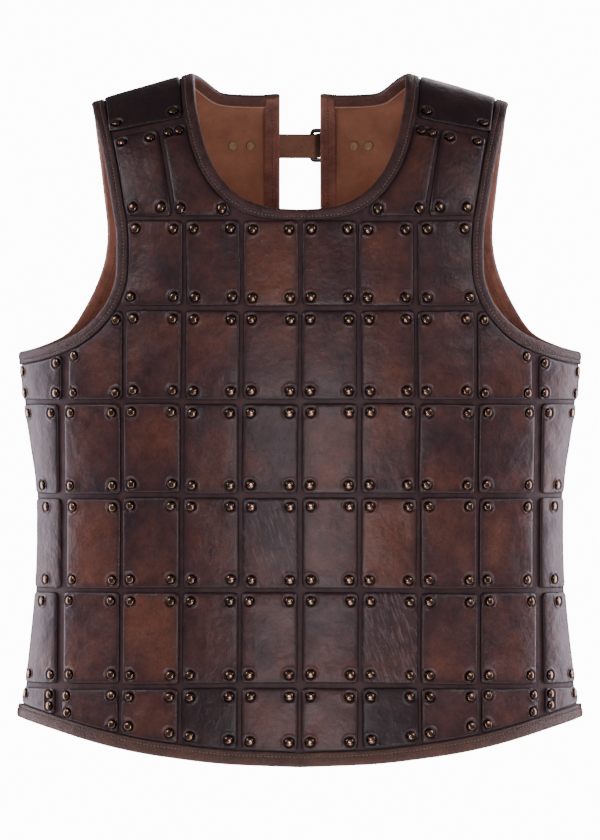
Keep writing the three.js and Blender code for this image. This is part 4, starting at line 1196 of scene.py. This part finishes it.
caps = Gather()
strap_slot = slot_of(run_at(STRAP_PATH, 18.6), run_at(STRAP_PATH, 23), 3.0)
strap_marks = [run_at(STRAP_PATH, x) for x in (1, 44, 66)]
tab_slot = slot_of(run_at(TAB_PATH[:7], 32), run_at(TAB_PATH[:7], 26.0) + 11.5, 5.0)
for n, height in enumerate(STRAP_HEIGHTS, 1):
    points, faces, edge, inside = ribbon(STRAP_PATH, 21.4, 2.0, [strap_slot], height, 9.0, strap_marks)
    # Painted shadow on the strap from where it rises away through the buckle, carried in the edge look
    buckle_shadow = np.clip((points[:, 0] - 13.2) / 1.2, 0, 1) * (points[:, 0] < 27)
    one_piece(f"strap_leather_{n}", points, faces, STRAP_LEATHER, "strap_leather", f"strap_{n}",
              np.maximum(edge, buckle_shadow), inside)
    points, faces, edge, inside = ribbon(TAB_PATH, 22, 1.6, [tab_slot], height)
    one_piece(f"tab_leather_{n}", points, faces, STRAP_LEATHER, "strap_leather", f"buckle_tab_{n}",
              edge, inside)
    points, faces, edge = keeper_band(height)
    one_piece(f"keeper_leather_{n}", points, faces, STRAP_LEATHER, "strap_leather", f"strap_keeper_{n}", edge)
    ring = rounded_frame(10.8, 29.2, -13.1, 13.1, 2.6)
    line = np.column_stack([ring[:, 0], np.full(len(ring), 5.75), ring[:, 1]])
    points, faces = tube(line, 1.95, height, True, squash=0.56)
    one_piece(f"buckle_steel_{n}", points, faces, STEEL, "buckle_steel", f"buckle_frame_{n}")
    turn = np.linspace(math.pi * 1.1, -math.pi * 0.75, 16)
    loop = np.column_stack([29.2 + 2.5 * np.cos(turn), 5.75 + 2.5 * np.sin(turn), np.zeros(16)])[::-1]
    pin = [(24, 7.7, 0), (19, 8.0, 0), (14, 8.15, 0), (10.5, 8.1, 0), (8.7, 7.7, 0)]
    line = spaced(np.vstack([loop[:-3], pin]), 40)
    sizes = np.interp(np.arange(40), [0, 20, 38, 39], [0.9, 1.25, 0.95, 0.5])
    points, faces = tube(line, sizes, height, False, 10)
    one_piece(f"prong_steel_{n}", points, faces, STEEL, "buckle_steel", f"buckle_prong_{n}")
    for x, seat, node in ((-63.1, 2.85, f"strap_rivet_{n}_1"), (-46.3, 2.85, f"strap_rivet_{n}_2"),
                          (51, 4.45, f"tab_rivet_{n}_1"), (64.5, 4.45, f"tab_rivet_{n}_2")):
        points, faces, edge = back_nail(x, seat, height)
        one_piece(f"{node}_head", points, faces, BRASS, "rivet_brass", node, edge)
        points, faces, edge = inner_cap(x, height + (2 if n == 1 else 0))
        caps.add(points, outward(points, faces), edge=edge)
settle(caps.make("inner_rivet_caps", [CAP_BRASS]), "rivet_brass")

# The areas of the sheets' flat cuts, worked out and not kept
bpy.context.view_layer.update()
round(abs(signed_area(whole)) * MM**2, 4)
for name in ("right", "left"):
    round(abs(signed_area(back_loop)) * MM**2, 4)


# Camera, light and stage
def area_light(name, place, target, size, energy, colour=(1.0, 0.93, 0.98)):
    light = bpy.data.lights.new(name, "AREA")
    light.shape, light.size, light.size_y = "RECTANGLE", size[0], size[1]
    light.energy, light.color = energy, colour
    lamp = bpy.data.objects.new(name, light)
    lamp.location = place
    lamp.rotation_euler = (Vector(target) - Vector(place)).to_track_quat("-Z", "Y").to_euler()
    bpy.context.scene.collection.objects.link(lamp)


MIDDLE = (0, 0, -0.3)
area_light("low_light", (0.3, -2.6, -1.6), MIDDLE, (0.9, 0.5), 17)
area_light("high_light_left", (-2.3, -1.5, 0.9), MIDDLE, (0.8, 0.9), 21)
area_light("high_light_right", (2.2, -1.6, 0.7), MIDDLE, (0.8, 0.9), 17)
area_light("front_light", (0.05, -3.3, -0.5), MIDDLE, (0.6, 0.25), 14)
area_light("side_light_right", (1.5, 0.6, -0.2), MIDDLE, (1.0, 1.9), 30, (0.97, 0.88, 1.0))
area_light("side_light_left", (-1.5, 0.6, -0.35), MIDDLE, (1.0, 1.9), 30, (0.97, 0.88, 1.0))
area_light("floor_light", (0, 0, -0.85), (0, 0, -1.35), (1.5, 1.5), 9)
area_light("back_light", (0.6, 2.4, 0.9), MIDDLE, (1.6, 1.6), 20)


def studio_world():
    """White where the camera looks past the object, and a dim even light on it"""
    world = bpy.data.worlds.new("studio")
    bpy.context.scene.world = world
    world.use_nodes = True
    tree = world.node_tree
    seen = tree.nodes["Background"]
    seen.inputs["Color"].default_value, seen.inputs["Strength"].default_value = (1, 1, 1, 1), 13.0
    dim = tree.nodes.new("ShaderNodeBackground")
    dim.inputs["Color"].default_value, dim.inputs["Strength"].default_value = (0.9, 0.88, 1.0, 1), 0.10
    path, mix = tree.nodes.new("ShaderNodeLightPath"), tree.nodes.new("ShaderNodeMixShader")
    tree.links.new(path.outputs["Is Camera Ray"], mix.inputs[0])
    tree.links.new(dim.outputs[0], mix.inputs[1])
    tree.links.new(seen.outputs[0], mix.inputs[2])
    tree.links.new(mix.outputs[0], tree.nodes["World Output"].inputs["Surface"])


studio_world()


def floor():
    paint = Paint("studio_floor")
    colour = paint.mottled(3, 2, 0.5, (0.86, 0.86, 0.86), (0.9, 0.9, 0.9))
    rim = np.column_stack([circle((0, 0), 1600, 64), np.full(64, -1350)])
    make("studio_floor", rim, [range(64)], [paint.finish(colour, 0.9)])


floor()
# A picture 840 pixels high, each of which covers 0.91 mm at 3 m
SENSOR, DISTANCE, PIXEL, PIXELS = 36, 3000, 0.91, 840
camera_data = bpy.data.cameras.new("camera")
camera_data.sensor_width = SENSOR
camera_data.lens = SENSOR * (DISTANCE / PIXEL) / PIXELS
camera = bpy.data.objects.new("camera", camera_data)
camera.location = (0, -DISTANCE * MM, -0.29655)
camera.rotation_euler = (math.pi / 2, 0, 0)
bpy.context.scene.collection.objects.link(camera)
bpy.context.scene.camera = camera

bpy.context.view_layer.update()
